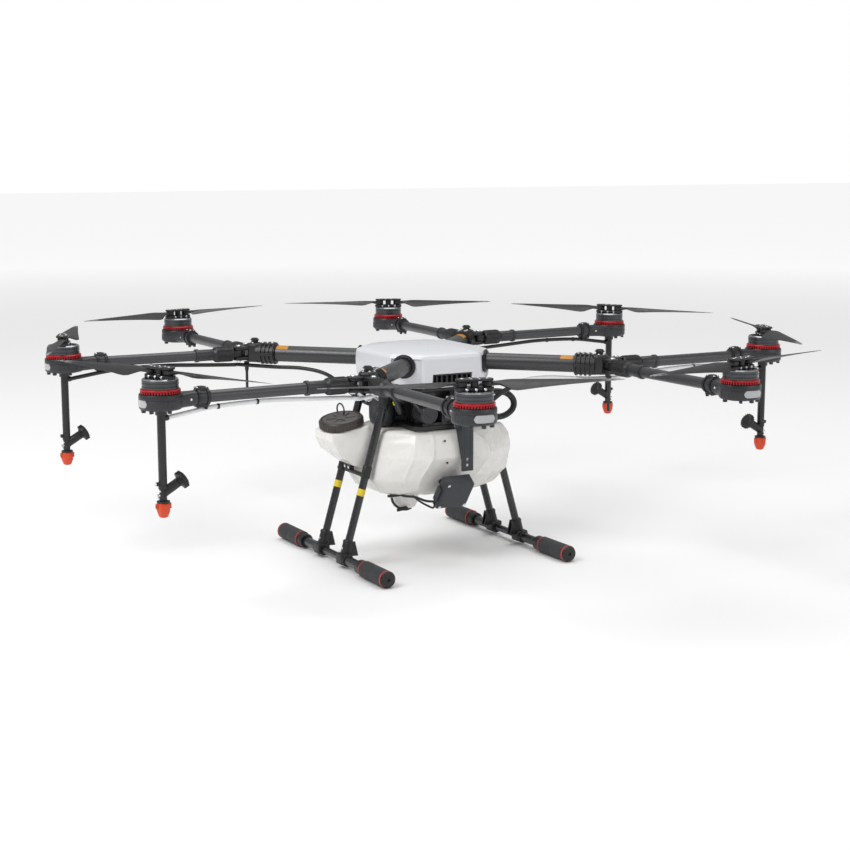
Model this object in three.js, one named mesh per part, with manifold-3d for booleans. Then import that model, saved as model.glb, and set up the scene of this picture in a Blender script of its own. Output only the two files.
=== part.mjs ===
import * as THREE from 'three';
import { mergeVertices } from 'three/addons/utils/BufferGeometryUtils.js';
import Module from 'manifold-3d';

const wasm = await Module();
wasm.setup();

// Driving dimensions, in millimetres. Origin on the ground under the centre, +X forward, +Y left, +Z up.
const rotorCircle = 750;
const bladeReach = 267;
const boomHeight = 418.5;
const boomRadius = 17.5;
const boomStart = 62;
const boomEnd = 368;
const yokeRadius = 390;
const pivotReach = 30;
const forkRadius = 13;
const tongueHalf = 7;
const nutRadius = 17;
const sleeveRadius = 12.5;
const armRadius = 11;
const housingRadius = 39;
const housingLow = 401.5;
const housingHigh = 431.5;
const ringRadius = 36;
const bellRadius = 33;
const bladePost = 22;
const bladeHeight = 470;
const dropRadius = 8;
const hoseRadius = 4.2;
const skidHalf = 250;
const skidSide = 216;
const gripRadius = 17.5;
const legPlace = 54;
const legSplay = 0.293;
const legRadius = 8.25;
const deckLow = 364;
const deckHigh = 370;
const tankTop = 281;
const running = 0.3;

const halfTurn = Math.PI;
const quarterTurn = Math.PI / 2;

// Resting blade angles in degrees, one for each rotor, anticlockwise from the front left.
const bladeRest = [104, 156, 33, 67, 106, 157, 24, 74];
const rotors = bladeRest.map((rest, index) => {
  const angle = THREE.MathUtils.degToRad(22.5 + 45 * index);
  const quadrant = Math.floor(index / 2);
  const centre = new THREE.Vector3(rotorCircle * Math.cos(angle), rotorCircle * Math.sin(angle), 0);
  return { number: index + 1, quadrant, centre, rest: THREE.MathUtils.degToRad(rest) };
});

const quadrants = ['front_left', 'rear_left', 'rear_right', 'front_right'];
const boomAngle = (quadrant) => halfTurn / 4 + quadrant * quarterTurn;

const colours = {
  carbon: { color: 0x2b2c2f, roughness: 0.45, metalness: 0.1 },
  plastic: { color: 0x2a2b2e, roughness: 0.6, metalness: 0 },
  housing: { color: 0x3a3c40, roughness: 0.55, metalness: 0 },
  cover: { color: 0xe4e6ea, roughness: 0.3, metalness: 0 },
  motor: { color: 0x55595d, roughness: 0.35, metalness: 0.8 },
  blade: { color: 0x2c2d30, roughness: 0.5, metalness: 0 },
  tank: { color: 0xe2e1da, roughness: 0.4, metalness: 0 },
  cap: { color: 0x3b352f, roughness: 0.6, metalness: 0 },
  radar: { color: 0x3c4043, roughness: 0.6, metalness: 0 },
  white: { color: 0xdfe0e0, roughness: 0.5, metalness: 0 },
};

const object = new THREE.Group();

// A closed three.js geometry as a solid that can be joined and cut.
function solid(geometry) {
  const bare = geometry.clone();
  bare.deleteAttribute('normal');
  if (bare.getAttribute('uv')) bare.deleteAttribute('uv');
  const merged = mergeVertices(bare, 1e-4);
  const mesh = new wasm.Mesh({
    numProp: 3,
    vertProperties: Float32Array.from(merged.getAttribute('position').array),
    triVerts: Uint32Array.from(merged.index.array),
  });
  return new wasm.Manifold(mesh);
}

function join(...geometries) {
  return geometries.map(solid).reduce((sum, next) => sum.add(next));
}

function cut(body, ...geometries) {
  return geometries.map(solid).reduce((rest, next) => rest.subtract(next), body);
}

function geometryOf(body) {
  const mesh = body.getMesh();
  const geometry = new THREE.BufferGeometry();
  geometry.setAttribute('position', new THREE.BufferAttribute(Float32Array.from(mesh.vertProperties), 3));
  geometry.setIndex(new THREE.BufferAttribute(Uint32Array.from(mesh.triVerts), 1));
  return geometry;
}

function place(name, body, look, position = [0, 0, 0], turn = [0, 0, 0]) {
  const geometry = body.isBufferGeometry ? body : geometryOf(body);
  const mesh = new THREE.Mesh(geometry, new THREE.MeshStandardMaterial(colours[look]));
  mesh.name = name;
  mesh.position.set(...position);
  mesh.rotation.set(...turn);
  object.add(mesh);
  return mesh;
}

function block(low, high) {
  const size = high.map((value, axis) => value - low[axis]);
  const middle = high.map((value, axis) => (value + low[axis]) / 2);
  return new THREE.BoxGeometry(...size).translate(...middle);
}

// A disc or post standing on height low.
function post(x, y, low, high, radius, sides = 10) {
  const geometry = new THREE.CylinderGeometry(radius, radius, high - low, sides);
  return geometry.rotateX(quarterTurn).translate(x, y, (low + high) / 2);
}

// A profile of [distance along, radius] pairs turned about the X axis.
function turnedAlongX(profile, sides = 10) {
  const points = profile.map(([along, radius]) => new THREE.Vector2(radius, along));
  return new THREE.LatheGeometry(points, sides).rotateZ(-quarterTurn);
}

// A profile of [radius, height] pairs turned about the Z axis.
function turnedAlongZ(profile, sides = 16) {
  const points = profile.map(([radius, height]) => new THREE.Vector2(radius, height));
  return new THREE.LatheGeometry(points, sides).rotateX(quarterTurn);
}

function rodBetween(start, end, radius, sides = 12, endRadius = radius) {
  const from = new THREE.Vector3(...start);
  const to = new THREE.Vector3(...end);
  const way = to.clone().sub(from);
  const geometry = new THREE.CylinderGeometry(endRadius, radius, way.length(), sides);
  const turn = new THREE.Quaternion().setFromUnitVectors(new THREE.Vector3(0, 1, 0), way.normalize());
  return geometry.applyQuaternion(turn).translate(...from.add(to).multiplyScalar(0.5).toArray());
}

function tube(points, radius, steps, sides = 8) {
  const knots = points.map((point) => new THREE.Vector3(...point));
  const curve = new THREE.CatmullRomCurve3(knots, false, 'centripetal');
  const section = new THREE.Shape();
  for (let side = 0; side < sides; side += 1) {
    const angle = (2 * halfTurn * side) / sides;
    const corner = [radius * Math.cos(angle), radius * Math.sin(angle)];
    if (side === 0) section.moveTo(...corner);
    else section.lineTo(...corner);
  }
  section.closePath();
  return new THREE.ExtrudeGeometry(section, { steps, extrudePath: curve, bevelEnabled: false });
}

// Rings of points, all of one length, skinned into a closed body with flat ends.
function loft(rings) {
  const count = rings[0].length;
  const places = rings.flat(2);
  const faces = [];
  for (let ring = 0; ring < rings.length - 1; ring += 1) {
    for (let corner = 0; corner < count; corner += 1) {
      const next = (corner + 1) % count;
      const low = ring * count;
      const high = low + count;
      faces.push(low + corner, low + next, high + next, low + corner, high + next, high + corner);
    }
  }
  const last = (rings.length - 1) * count;
  for (let corner = 1; corner < count - 1; corner += 1) {
    faces.push(0, corner + 1, corner);
    faces.push(last, last + corner, last + corner + 1);
  }
  const geometry = new THREE.BufferGeometry();
  geometry.setAttribute('position', new THREE.Float32BufferAttribute(places, 3));
  geometry.setIndex(faces);
  return geometry;
}

// An eight-cornered ring: a rectangle with its corners cut.
function cutRectangle(x, y, corner, height) {
  const inX = x - corner;
  const inY = y - corner;
  return [
    [x, -inY, height], [x, inY, height], [inX, y, height], [-inX, y, height],
    [-x, inY, height], [-x, -inY, height], [-inX, -y, height], [inX, -y, height],
  ];
}

// Booms: carbon tubes from the hub out to the folding yokes.
function boom() {
  const profile = [
    [boomStart, 15.5], [boomStart, boomRadius], [boomEnd, boomRadius], [boomEnd, 15.5], [boomStart, 15.5],
  ];
  return turnedAlongX(profile, 16);
}

// A yoke: ribbed clamp on the boom's end, then a block with a fork and a pin for each of two arms.
const yokeCorner = yokeRadius / Math.SQRT2;
const pivots = [[yokeCorner + pivotReach, yokeCorner + 1], [yokeCorner + 1, yokeCorner + pivotReach]];

function yoke() {
  const ribs = [332, 346, 360].flatMap(
    (along) => [[along, 21], [along, 24], [along + 5, 24], [along + 5, 21]],
  );
  const clamp = turnedAlongX([[330, 0], [330, 21], ...ribs, [374, 21], [374, 0]])
    .rotateZ(halfTurn / 4).translate(0, 0, boomHeight);
  const centre = yokeCorner - 6;
  const middle = post(centre, centre, boomHeight - 19, boomHeight + 23, 19, 12);
  const forks = pivots.map(([x, y]) => post(x, y, boomHeight - 15, boomHeight + 15, forkRadius, 10));
  const necks = [
    block(
      [centre, pivots[0][1] - forkRadius, boomHeight - 15],
      [pivots[0][0], pivots[0][1] + forkRadius, boomHeight + 15],
    ),
    block(
      [pivots[1][0] - forkRadius, centre, boomHeight - 15],
      [pivots[1][0] + forkRadius, pivots[1][1], boomHeight + 15],
    ),
  ];
  const slots = [
    block([pivots[0][0] - 11, pivots[0][1] - 30, boomHeight - tongueHalf - running],
      [pivots[0][0] + 30, pivots[0][1] + 30, boomHeight + tongueHalf + running]),
    block([pivots[1][0] - 30, pivots[1][1] - 11, boomHeight - tongueHalf - running],
      [pivots[1][0] + 30, pivots[1][1] + 30, boomHeight + tongueHalf + running]),
  ];
  const bore = turnedAlongX([
    [320, 0], [320, boomRadius + running], [370, boomRadius + running], [370, 0],
  ], 16).rotateZ(halfTurn / 4).translate(0, 0, boomHeight);
  const pins = pivots.map(([x, y]) => post(x, y, boomHeight - 15, boomHeight + 15, 3, 8));
  const knob = block([centre - 6, centre - 6, boomHeight + 20], [centre + 6, centre + 6, boomHeight + 33]);
  const body = cut(join(clamp, middle, ...forks, ...necks, knob), ...slots, bore);
  return pins.map(solid).reduce((sum, pin) => sum.add(pin), body);
}

const yokeBody = yoke();
quadrants.forEach((name, quadrant) => {
  place(`boom_${name}`, boom(), 'carbon', [0, 0, boomHeight], [0, 0, boomAngle(quadrant)]);
  place(`yoke_${name}`, yokeBody, 'plastic', [0, 0, 0], [0, 0, quadrant * quarterTurn]);
});

// An arm, built along +X from its hinge pin at the origin: tongue, lock nut, sleeve, tube and motor base.
function armFor(length) {
  const tongueDisc = post(0, 0, -tongueHalf, tongueHalf, 10, 10);
  const tongue = block([0, -10, -tongueHalf], [16, 10, tongueHalf]);
  const profile = [
    [14, 0], [14, nutRadius], [56, nutRadius], [60, sleeveRadius], [94, sleeveRadius],
    [94, 14.5], [101, 14.5], [101, armRadius], [length - 92, armRadius], [length - 88, 15],
    [length - 36, 12.5], [length - 36, 0],
  ];
  const tubeBody = turnedAlongX(profile, 10);
  const base = post(length, 0, housingLow - boomHeight, housingHigh - boomHeight, housingRadius, 16);
  const hump = block([length - 82, -8, 0], [length - 62, 8, 20]);
  const hole = post(0, 0, -20, 20, 3.4, 8);
  return cut(join(tongueDisc, tongue, tubeBody, base, hump), hole);
}

function rotorBody() {
  const profile = [
    [0, housingHigh + running], [ringRadius, housingHigh + running], [ringRadius, 439], [bellRadius, 441],
    [bellRadius, 456], [29, 459], [0, 459],
  ];
  const bell = turnedAlongZ(profile, 14);
  const lower = block([-34, -12, 458], [34, 12, bladeHeight - 5 - running]);
  const upper = block([-33, -12, bladeHeight + 5 + running], [33, 12, 480]);
  const posts = [-bladePost, bladePost].map((x) => post(x, 0, 460, 479, 3, 8));
  const middle = post(0, 0, 460, 479, 6, 8);
  return join(bell, lower, upper, ...posts, middle);
}

// A blade along +X, counted from its own fold pin: boss, narrow root, full chord near the hub, long taper.
// The leading edge is nearly straight. Neighbouring rotors turn opposite ways, so hand mirrors the blade.
function bladeBody(hand) {
  const stations = [
    [2, 7, -7, 4.4], [20, 8, -9, 3.6], [44, 12, -27, 2.6], [80, 11, -23, 2],
    [160, 7, -13, 1.3], [bladeReach - bladePost, 1, -4, 0.7],
  ];
  const rings = stations.map(([along, lead, trail, half]) => {
    const pitch = along < 20 ? 0 : 0.42 - 0.0011 * along;
    const middle = (lead + trail) / 2;
    const section = [
      [lead, -half * 0.3], [lead, half * 0.3], [middle, half],
      [trail, half * 0.3], [trail, -half * 0.3], [middle, -half],
    ];
    const ring = section.map(([across, up]) => [
      along,
      hand * (across * Math.cos(pitch) - up * Math.sin(pitch)),
      across * Math.sin(pitch) + up * Math.cos(pitch),
    ]);
    return hand < 0 ? ring.reverse() : ring;
  });
  const boss = post(0, 0, -4.6, 4.6, 9, 8);
  return cut(join(boss, loft(rings)), post(0, 0, -8, 8, 3.4, 8));
}

// The spray drop under a rotor: rod, branch valve with its knob, and the tapered nozzle cap.
const dropTop = housingLow - running;
function dropSolids() {
  const rod = post(0, 0, 262, dropTop, dropRadius, 8);
  const body = post(0, 0, 236, 264, 7, 8);
  const flange = post(0, 0, 232, 237, 12, 10);
  const cap = turnedAlongZ([[0, 205], [9, 205], [14, 218], [14, 233], [0, 233]], 10);
  const branch = rodBetween([0, 0, 250], [31, 0, 268], 9, 8);
  const knob = rodBetween([30, 0, 267.4], [43, 0, 274.9], 17, 10);
  const clip = block([-14, -4, 262], [-4, 4, 272]);
  return [rod, body, flange, cap, branch, knob, clip];
}

const sprayRotors = [2, 3, 6, 7];
const blades = { 1: bladeBody(-1), 0: bladeBody(1) };
const rotor = rotorBody();

rotors.forEach(({ number, quadrant, centre, rest }) => {
  const along = (number - 1) % 2;
  const [px, py] = pivots[along];
  const up = new THREE.Vector3(0, 0, 1);
  const pivot = new THREE.Vector3(px, py, 0).applyAxisAngle(up, quadrant * quarterTurn);
  const way = centre.clone().sub(pivot);
  const heading = Math.atan2(way.y, way.x);
  place(`arm_${number}`, armFor(way.length()), 'housing', [pivot.x, pivot.y, boomHeight], [0, 0, heading]);
  place(`rotor_${number}`, rotor, 'motor', centre.toArray(), [0, 0, rest]);
  ['a', 'b'].forEach((letter, side) => {
    const turn = rest + side * halfTurn;
    const pin = [centre.x + bladePost * Math.cos(turn), centre.y + bladePost * Math.sin(turn), bladeHeight];
    place(`blade_${number}${letter}`, blades[number % 2], 'blade', pin, [0, 0, turn]);
  });
  if (sprayRotors.includes(number)) {
    // The valve's knob points inboard, back along the arm; the hose joins the rod just under the motor base.
    const inlet = way.length() - 14;
    const hose = tube([
      [inlet, 0, -32], [inlet - 20, 0, -29], [way.length() - 100, 0, -20], [way.length() - 170, 0, -17],
      [160, 0, -17], [110, 0, -19.5], [64, 0, -22], [34, 0, -23.5],
    ], hoseRadius, 14, 6);
    const drop = dropSolids().map(
      (geometry) => geometry.rotateZ(halfTurn).translate(way.length(), 0, -boomHeight),
    );
    const stub = rodBetween([way.length(), 0, -32], [inlet + 0.5, 0, -32], 6, 8);
    const spot = [pivot.x, pivot.y, boomHeight];
    place(`spray_drop_${number}`, join(...drop, stub, hose), 'plastic', spot, [0, 0, heading]);
  }
});

// Feed hoses held under the booms, from the pump to just short of each sprayed arm's hinge.
const feedRoute = [
  [276, 284, 391], [262, 262, 389.5], [236, 236, 388.5], [190, 192, 388], [150, 156, 378],
  [118, 128, 352], [98, 108, 330], [70, 92, 318], [60.5, 80, 316],
];
[
  ['rear_left', -1, 1, 'plastic'],
  ['front_left', 1, 1, 'white'],
  ['rear_right', -1, -1, 'plastic'],
  ['front_right', 1, -1, 'white'],
].forEach(([name, sideX, sideY, look]) => {
  const route = feedRoute.map(([x, y, z]) => [x * sideX, y * sideY, z]);
  place(`feed_hose_${name}`, tube(route, hoseRadius, 16, 6), look);
});

// Aerial rods under the left and right yokes.
['front_left', 'rear_right'].forEach((name, index) => {
  const side = index === 0 ? 1 : -1;
  const at = side * (yokeCorner - 6 + 14);
  const rod = join(post(at, at, 322, 395, 3.2, 8), post(at, at, 394, boomHeight - 19 - running, 6, 8));
  place(`aerial_${name}`, rod, 'plastic');
});

// Centre frame: deck, boom sockets above it, equipment box and trays below it.
function centreFrame() {
  const deck = loft([cutRectangle(112, 108, 46, deckLow), cutRectangle(112, 108, 46, deckHigh)]);
  const core = block([-44, -44, deckHigh - 1], [44, 44, boomHeight + 24]);
  const sockets = quadrants.map((name, quadrant) => turnedAlongX([[20, 0], [20, 22], [106, 22], [106, 0]])
    .rotateZ(boomAngle(quadrant)).translate(0, 0, boomHeight));
  const feet = quadrants.map((name, quadrant) => block([58, -14, deckHigh - 1], [104, 14, boomHeight - 10])
    .rotateZ(boomAngle(quadrant)));
  const bores = quadrants.map((name, quadrant) => turnedAlongX([
    [boomStart - 1, 0], [boomStart - 1, boomRadius + running], [130, boomRadius + running], [130, 0],
  ], 16).rotateZ(boomAngle(quadrant)).translate(0, 0, boomHeight));
  const box = loft([cutRectangle(82, 56, 12, 291), cutRectangle(82, 56, 12, deckLow + 1)]);
  const tray = loft([cutRectangle(112, 76, 14, 283.5), cutRectangle(112, 76, 14, 292)]);
  const frontPump = rodBetween([80, -48, 318], [121, -48, 318], 21, 10);
  const frontBox = block([80, -14, 290], [110, 24, 340]);
  const body = cut(join(deck, core, ...sockets, ...feet), ...bores);
  return [box, tray, frontPump, frontBox].map(solid).reduce((sum, next) => sum.add(next), body);
}
place('centre_frame', centreFrame(), 'plastic');

// Top cover: a thin shell, open below, with a hole for each boom and an opening for the front grille.
function coverRings(inset) {
  const levels = [
    [122, 114, 50, 372.5], [128, 120, 53, 386], [130, 122, 54, 420], [129, 121, 54, 434],
    [125, 117, 52.5, 441], [110, 104, 47, 445.5], [76, 80, 38, 450.5], [38, 46, 20, 453.5],
  ];
  return levels.map(([x, y, corner, height]) => cutRectangle(
    x - inset, y - inset, corner - inset * 0.6, height - inset * (height > 430 ? 1 : 0),
  ));
}
function topCover() {
  const outside = loft(coverRings(0));
  const inner = coverRings(3);
  const inside = loft([inner[0].map(([x, y]) => [x, y, 360]), ...inner]);
  const holes = quadrants.map((name, quadrant) => {
    const hole = rodBetween([100, 0, boomHeight], [240, 0, boomHeight], boomRadius + 1.5, 14);
    return hole.rotateZ(boomAngle(quadrant));
  });
  const grille = block([100, -47, 374.8], [150, 47, 402]);
  return cut(solid(outside), inside, ...holes, grille);
}
place('top_cover', topCover(), 'cover');

function ventGrille() {
  const panel = block([117, -46.5, 375.2], [125, 46.5, 401.6]);
  const slots = [-36, -24, -12, 0, 12, 24, 36].map((y) => block([110, y - 3.5, 379], [140, y + 3.5, 398]));
  return cut(solid(panel), ...slots);
}
place('vent_grille', ventGrille(), 'plastic');

// Tank: a faceted bottle that bulges at mid height, a filler lobe to the right and a sump below.
function tankRing(height, front, near, far, nose, left, right, shoulder) {
  return [
    [front, -near, height], [front, far, height], [nose, right - shoulder, height], [66, right, height],
    [-66, right, height], [-nose, right - shoulder, height], [-front, far, height], [-front, -near, height],
    [-nose, -left + 52, height], [-60, -left, height], [60, -left, height], [nose, -left + 52, height],
  ];
}
const legSide = (height) => skidSide - legSplay * (height - gripRadius);
function tankBody() {
  const rings = [
    tankRing(140.5, 84, 40, 46, 76, 96, 96, 34),
    tankRing(150, 94, 60, 56, 88, 132, 138, 46),
    tankRing(178, 112, 68, 68, 98, 150, 176, 62),
    tankRing(226, 137, 52, 86, 116, 139, 186, 74),
    tankRing(256, 131, 47, 76, 110, 131, 180, 72),
    tankRing(tankTop - 6, 122, 43, 52, 104, 124, 166, 62),
    tankRing(tankTop, 112, 40, 46, 96, 116, 156, 56),
  ];
  const lobe = loft([
    [[-34, -140, 197], [34, -140, 197], [34, -60, 197], [-34, -60, 197]],
    [[-38, -180, 207], [38, -180, 207], [38, -60, 207], [-38, -60, 207]],
    [[-42, -222, 238], [42, -222, 238], [42, -60, 238], [-42, -60, 238]],
    [[-42, -236, 264], [42, -236, 264], [42, -60, 264], [-42, -60, 264]],
    [[-41, -236, 280], [41, -236, 280], [41, -60, 280], [-41, -60, 280]],
  ]);
  // The lobe's top slopes with the cap, which leans outward and a little forward.
  const wedge = loft([
    [[-41, -235, 262], [41, -235, 262], [41, -146, 262], [-41, -146, 262]],
    [[-40, -233, 284], [40, -233, 276.9], [40, -148, 291.9], [-40, -148, 299]],
  ]);
  const neck = rodBetween([-1.7, -189.1, 270.2], [-0.1, -192.5, 289], 40, 16);
  const sump = loft([
    cutRectangle(16, 21, 7, 101), cutRectangle(21, 26, 9, 112), cutRectangle(26, 32, 12, 146),
  ]).translate(5, -47, 0);
  const slots = [-1, 1].map((side) => {
    const low = legSide(120);
    const high = legSide(300);
    return loft([
      [[-14, low - 18, 120], [14, low - 18, 120], [14, low + 80, 120], [-14, low + 80, 120]],
      [[-14, high - 18, 300], [14, high - 18, 300], [14, high + 80, 300], [-14, high + 80, 300]],
    ]).translate(side * legPlace, 0, 0);
  });
  const nearSlots = [-1, 1].map((side) => {
    const low = -legSide(120);
    const high = -legSide(300);
    return loft([
      [[-12, low - 60, 120], [12, low - 60, 120], [12, low + 12, 120], [-12, low + 12, 120]],
      [[-12, high - 60, 300], [12, high - 60, 300], [12, high + 12, 300], [-12, high + 12, 300]],
    ]).translate(side * legPlace, 0, 0);
  });
  return cut(join(loft(rings), lobe, wedge, neck, sump), ...slots, ...nearSlots);
}
place('tank', tankBody(), 'tank');

const capLean = [10, 5, 0];
const capProfile = [
  [0, 291], [45.5, 291], [47.5, 293], [47.5, 307], [45, 309.5], [0, 309.5],
];
const cap = turnedAlongZ(capProfile, 20).translate(0, 0, -291);
place('tank_cap', cap, 'cap', [0, -192.6, 289.8], capLean.map(THREE.MathUtils.degToRad));

// Pump housing between the right legs, beside the filler cap.
const pump = loft([
  cutRectangle(26, 14, 8, 284), cutRectangle(33, 20, 12, 296),
  cutRectangle(33, 21, 12, 330), cutRectangle(27, 17, 10, 338),
]).translate(0, -98, 0);
place('pump_unit', join(pump, block([-16, -90, 300], [16, -56.3, 326])), 'housing');

// Forward sensor: a flat box that looks down and ahead, on feet against the tank.
const radarTilt = 0.62;
function radarBody() {
  const box = loft([
    [[-11, -36, -38.5], [11, -36, -38.5], [11, 36, -38.5], [-11, 36, -38.5]],
    [[-11, -36, 26.5], [11, -36, 26.5], [11, 36, 26.5], [-11, 36, 26.5]],
    [[-11, -36, 38.5], [11, -36, 38.5], [11, 27, 38.5], [-11, 27, 38.5]],
  ]);
  const plug = block([-9, -42, -22], [4, -35, 16]);
  const feet = [-20, 20].map((y) => post(0, 0, -31, -10, 6, 8).rotateY(quarterTurn).translate(-0.1, y, 4));
  return join(box, plug, ...feet);
}
place('radar', radarBody(), 'radar', [138, 0, 154], [0, radarTilt, 0]);

// Front bracket: a drilled plate hung from the deck with a tapered side web.
function frontBracket() {
  const plate = block([146, 11.5, 197.5], [149.5, 38.5, 330]);
  const web = loft([
    [[144.6, 11.5, 222], [146.5, 11.5, 222], [146.5, 14.5, 222], [144.6, 14.5, 222]],
    [[118, 11.5, 300], [146.5, 11.5, 300], [146.5, 14.5, 300], [118, 14.5, 300]],
    [[112.4, 11.5, 330], [146.5, 11.5, 330], [146.5, 14.5, 330], [112.4, 14.5, 330]],
  ]);
  const arm = block([112, 11.5, 326], [149.5, 38.5, 330]);
  const tab = block([110.4, 11.5, 326], [114, 38.5, deckLow - running]);
  const holes = [222, 210].map((height) => rodBetween([140, 25, height], [155, 25, height], 3.6, 10));
  return cut(join(plate, web, arm, tab), ...holes);
}
place('front_bracket', frontBracket(), 'plastic');

// Landing gear: a skid with foam grips, two splayed legs in gusseted sockets, and a cross bar.
function landingGear(side) {
  const grips = [-1, 1].map((end) => turnedAlongX([
    [150, 0], [150, gripRadius], [246, gripRadius], [skidHalf, 14], [skidHalf, 0],
  ], 14).rotateZ(end < 0 ? halfTurn : 0));
  const collars = [-1, 1].map((end) => turnedAlongX([[128, 0], [128, 15.5], [151, 15.5], [151, 0]])
    .rotateZ(end < 0 ? halfTurn : 0));
  const middles = [-1, 1].map((end) => turnedAlongX([[40, 0], [40, 13], [129, 13], [129, 0]])
    .rotateZ(end < 0 ? halfTurn : 0));
  const link = turnedAlongX([[-42, 0], [-42, 7.5], [42, 7.5], [42, 0]], 8);
  const skid = [...grips, ...collars, ...middles, link].map(
    (geometry) => geometry.translate(0, side * skidSide, gripRadius),
  );
  const at = (x, height) => [x, side * legSide(height), height];
  const legs = [-legPlace, legPlace].flatMap((x) => [
    rodBetween(at(x, gripRadius), at(x, 356), legRadius, 8),
    rodBetween(at(x, 26), at(x, 56), 11.5, 8),
    rodBetween(at(x, 184), at(x, 209), 9.6, 8),
    block([x - 10, side > 0 ? 96 : -124, 344], [x + 10, side > 0 ? 124 : -96, deckLow - running]),
  ]);
  const gussets = [-legPlace, legPlace].map((x) => {
    const web = loft([
      [[x - 2.5, 0, 22], [x + 2.5, 0, 22], [x + 2.5, 30, 22], [x - 2.5, 30, 22]],
      [[x - 2.5, 0, 56], [x + 2.5, 0, 56], [x + 2.5, 8, 56], [x - 2.5, 8, 56]],
    ]);
    return web.translate(0, side > 0 ? legSide(40) - 30 : -legSide(40), 0);
  });
  const bars = side < 0 ? [rodBetween(at(-legPlace, 189), at(legPlace, 189), 5, 8)] : [];
  return join(...skid, ...legs, ...gussets, ...bars);
}
place('landing_gear_left', landingGear(1), 'plastic');
place('landing_gear_right', landingGear(-1), 'plastic');

export default object;
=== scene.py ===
import bmesh
import bpy
import math
from mathutils import Matrix, Vector


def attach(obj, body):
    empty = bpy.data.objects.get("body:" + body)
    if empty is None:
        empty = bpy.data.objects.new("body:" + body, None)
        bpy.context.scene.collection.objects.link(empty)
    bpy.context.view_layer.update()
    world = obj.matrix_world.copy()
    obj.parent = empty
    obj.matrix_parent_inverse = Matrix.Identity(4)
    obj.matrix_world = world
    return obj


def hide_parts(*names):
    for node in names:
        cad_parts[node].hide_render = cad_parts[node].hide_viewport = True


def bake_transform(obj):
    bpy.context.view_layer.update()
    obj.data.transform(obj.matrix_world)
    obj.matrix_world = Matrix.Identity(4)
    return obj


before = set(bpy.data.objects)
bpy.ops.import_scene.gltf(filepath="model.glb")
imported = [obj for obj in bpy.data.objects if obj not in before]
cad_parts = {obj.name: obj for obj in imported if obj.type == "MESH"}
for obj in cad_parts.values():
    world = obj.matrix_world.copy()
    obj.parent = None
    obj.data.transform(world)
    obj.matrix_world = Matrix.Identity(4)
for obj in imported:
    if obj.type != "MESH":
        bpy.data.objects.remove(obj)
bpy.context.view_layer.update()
print("frame loaded with", len(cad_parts), "nodes")

# pieces are drawn in millimetres and made metres when they are finished
layout = {
    "rotorCircle": 750, "boomHeight": 418.5, "yokeRadius": 390, "pivotReach": 30,
    "bladePost": 22, "bladeHeight": 470, "bladeRest": [104, 156, 33, 67, 106, 157, 24, 74],
    "sprayed": [2, 3, 6, 7], "legPlace": 54, "legSplay": 0.293, "skidSide": 216, "gripRadius": 17.5,
    "quadrants": ["front_left", "rear_left", "rear_right", "front_right"],
}


# helpers for shapes

def shift(x=0.0, y=0.0, z=0.0):
    return Matrix.Translation((x, y, z))


def turn(degrees, axis="Z"):
    return Matrix.Rotation(math.radians(degrees), 4, axis)


def moved(shape, matrix):
    shape.transform(matrix)
    return shape


def copied(shape, matrix=None):
    twin = shape.copy()
    if matrix is not None:
        twin.transform(matrix)
    return twin


def painted(shape, number):
    for face in shape.faces:
        face.material_index = number
    return shape


def together(parts):
    whole = bmesh.new()
    for part in parts:
        mesh = bpy.data.meshes.new("part")
        part.to_mesh(mesh)
        whole.from_mesh(mesh)
        bpy.data.meshes.remove(mesh)
        part.free()
    return whole


def rounded(shape, width, segments=2, angle=30):
    sharp = [e for e in shape.edges if len(e.link_faces) == 2 and e.calc_face_angle(0) > math.radians(angle)]
    if sharp and width > 0:
        bmesh.ops.bevel(shape, geom=sharp, offset=width, offset_type="OFFSET", affect="EDGES",
                        segments=segments, profile=0.5, material=-1, clamp_overlap=True)
    return shape


def boxShape(low, high, width=1.0, segments=2):
    shape = bmesh.new()
    bmesh.ops.create_cube(shape, size=1)
    bmesh.ops.scale(shape, vec=[h - l for l, h in zip(low, high)], verts=shape.verts)
    bmesh.ops.translate(shape, vec=[(h + l) / 2 for l, h in zip(low, high)], verts=shape.verts)
    return rounded(shape, width, segments)


def turnedShape(profile, steps=40, along="Z"):
    shape = bmesh.new()
    points = [shape.verts.new((radius, 0, height)) for radius, height in profile]
    lines = [shape.edges.new(pair) for pair in zip(points, points[1:])]
    bmesh.ops.spin(shape, geom=points + lines, cent=(0, 0, 0), axis=(0, 0, 1), angle=math.tau, steps=steps,
                   use_merge=True)
    bmesh.ops.remove_doubles(shape, verts=shape.verts, dist=0.001)
    if along == "X":
        shape.transform(turn(90, "Y"))
    bmesh.ops.recalc_face_normals(shape, faces=shape.faces)
    return shape


def rodShape(start, end, radius, sides=20, width=0.0, tip=None):
    start, end = Vector(start), Vector(end)
    shape = bmesh.new()
    bmesh.ops.create_cone(shape, cap_ends=True, segments=sides, radius1=radius,
                          radius2=radius if tip is None else tip, depth=(end - start).length)
    rounded(shape, width, 2, 50)
    way = (end - start).to_track_quat("Z", "Y").to_matrix().to_4x4()
    return moved(shape, Matrix.Translation((start + end) / 2) @ way)


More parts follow.
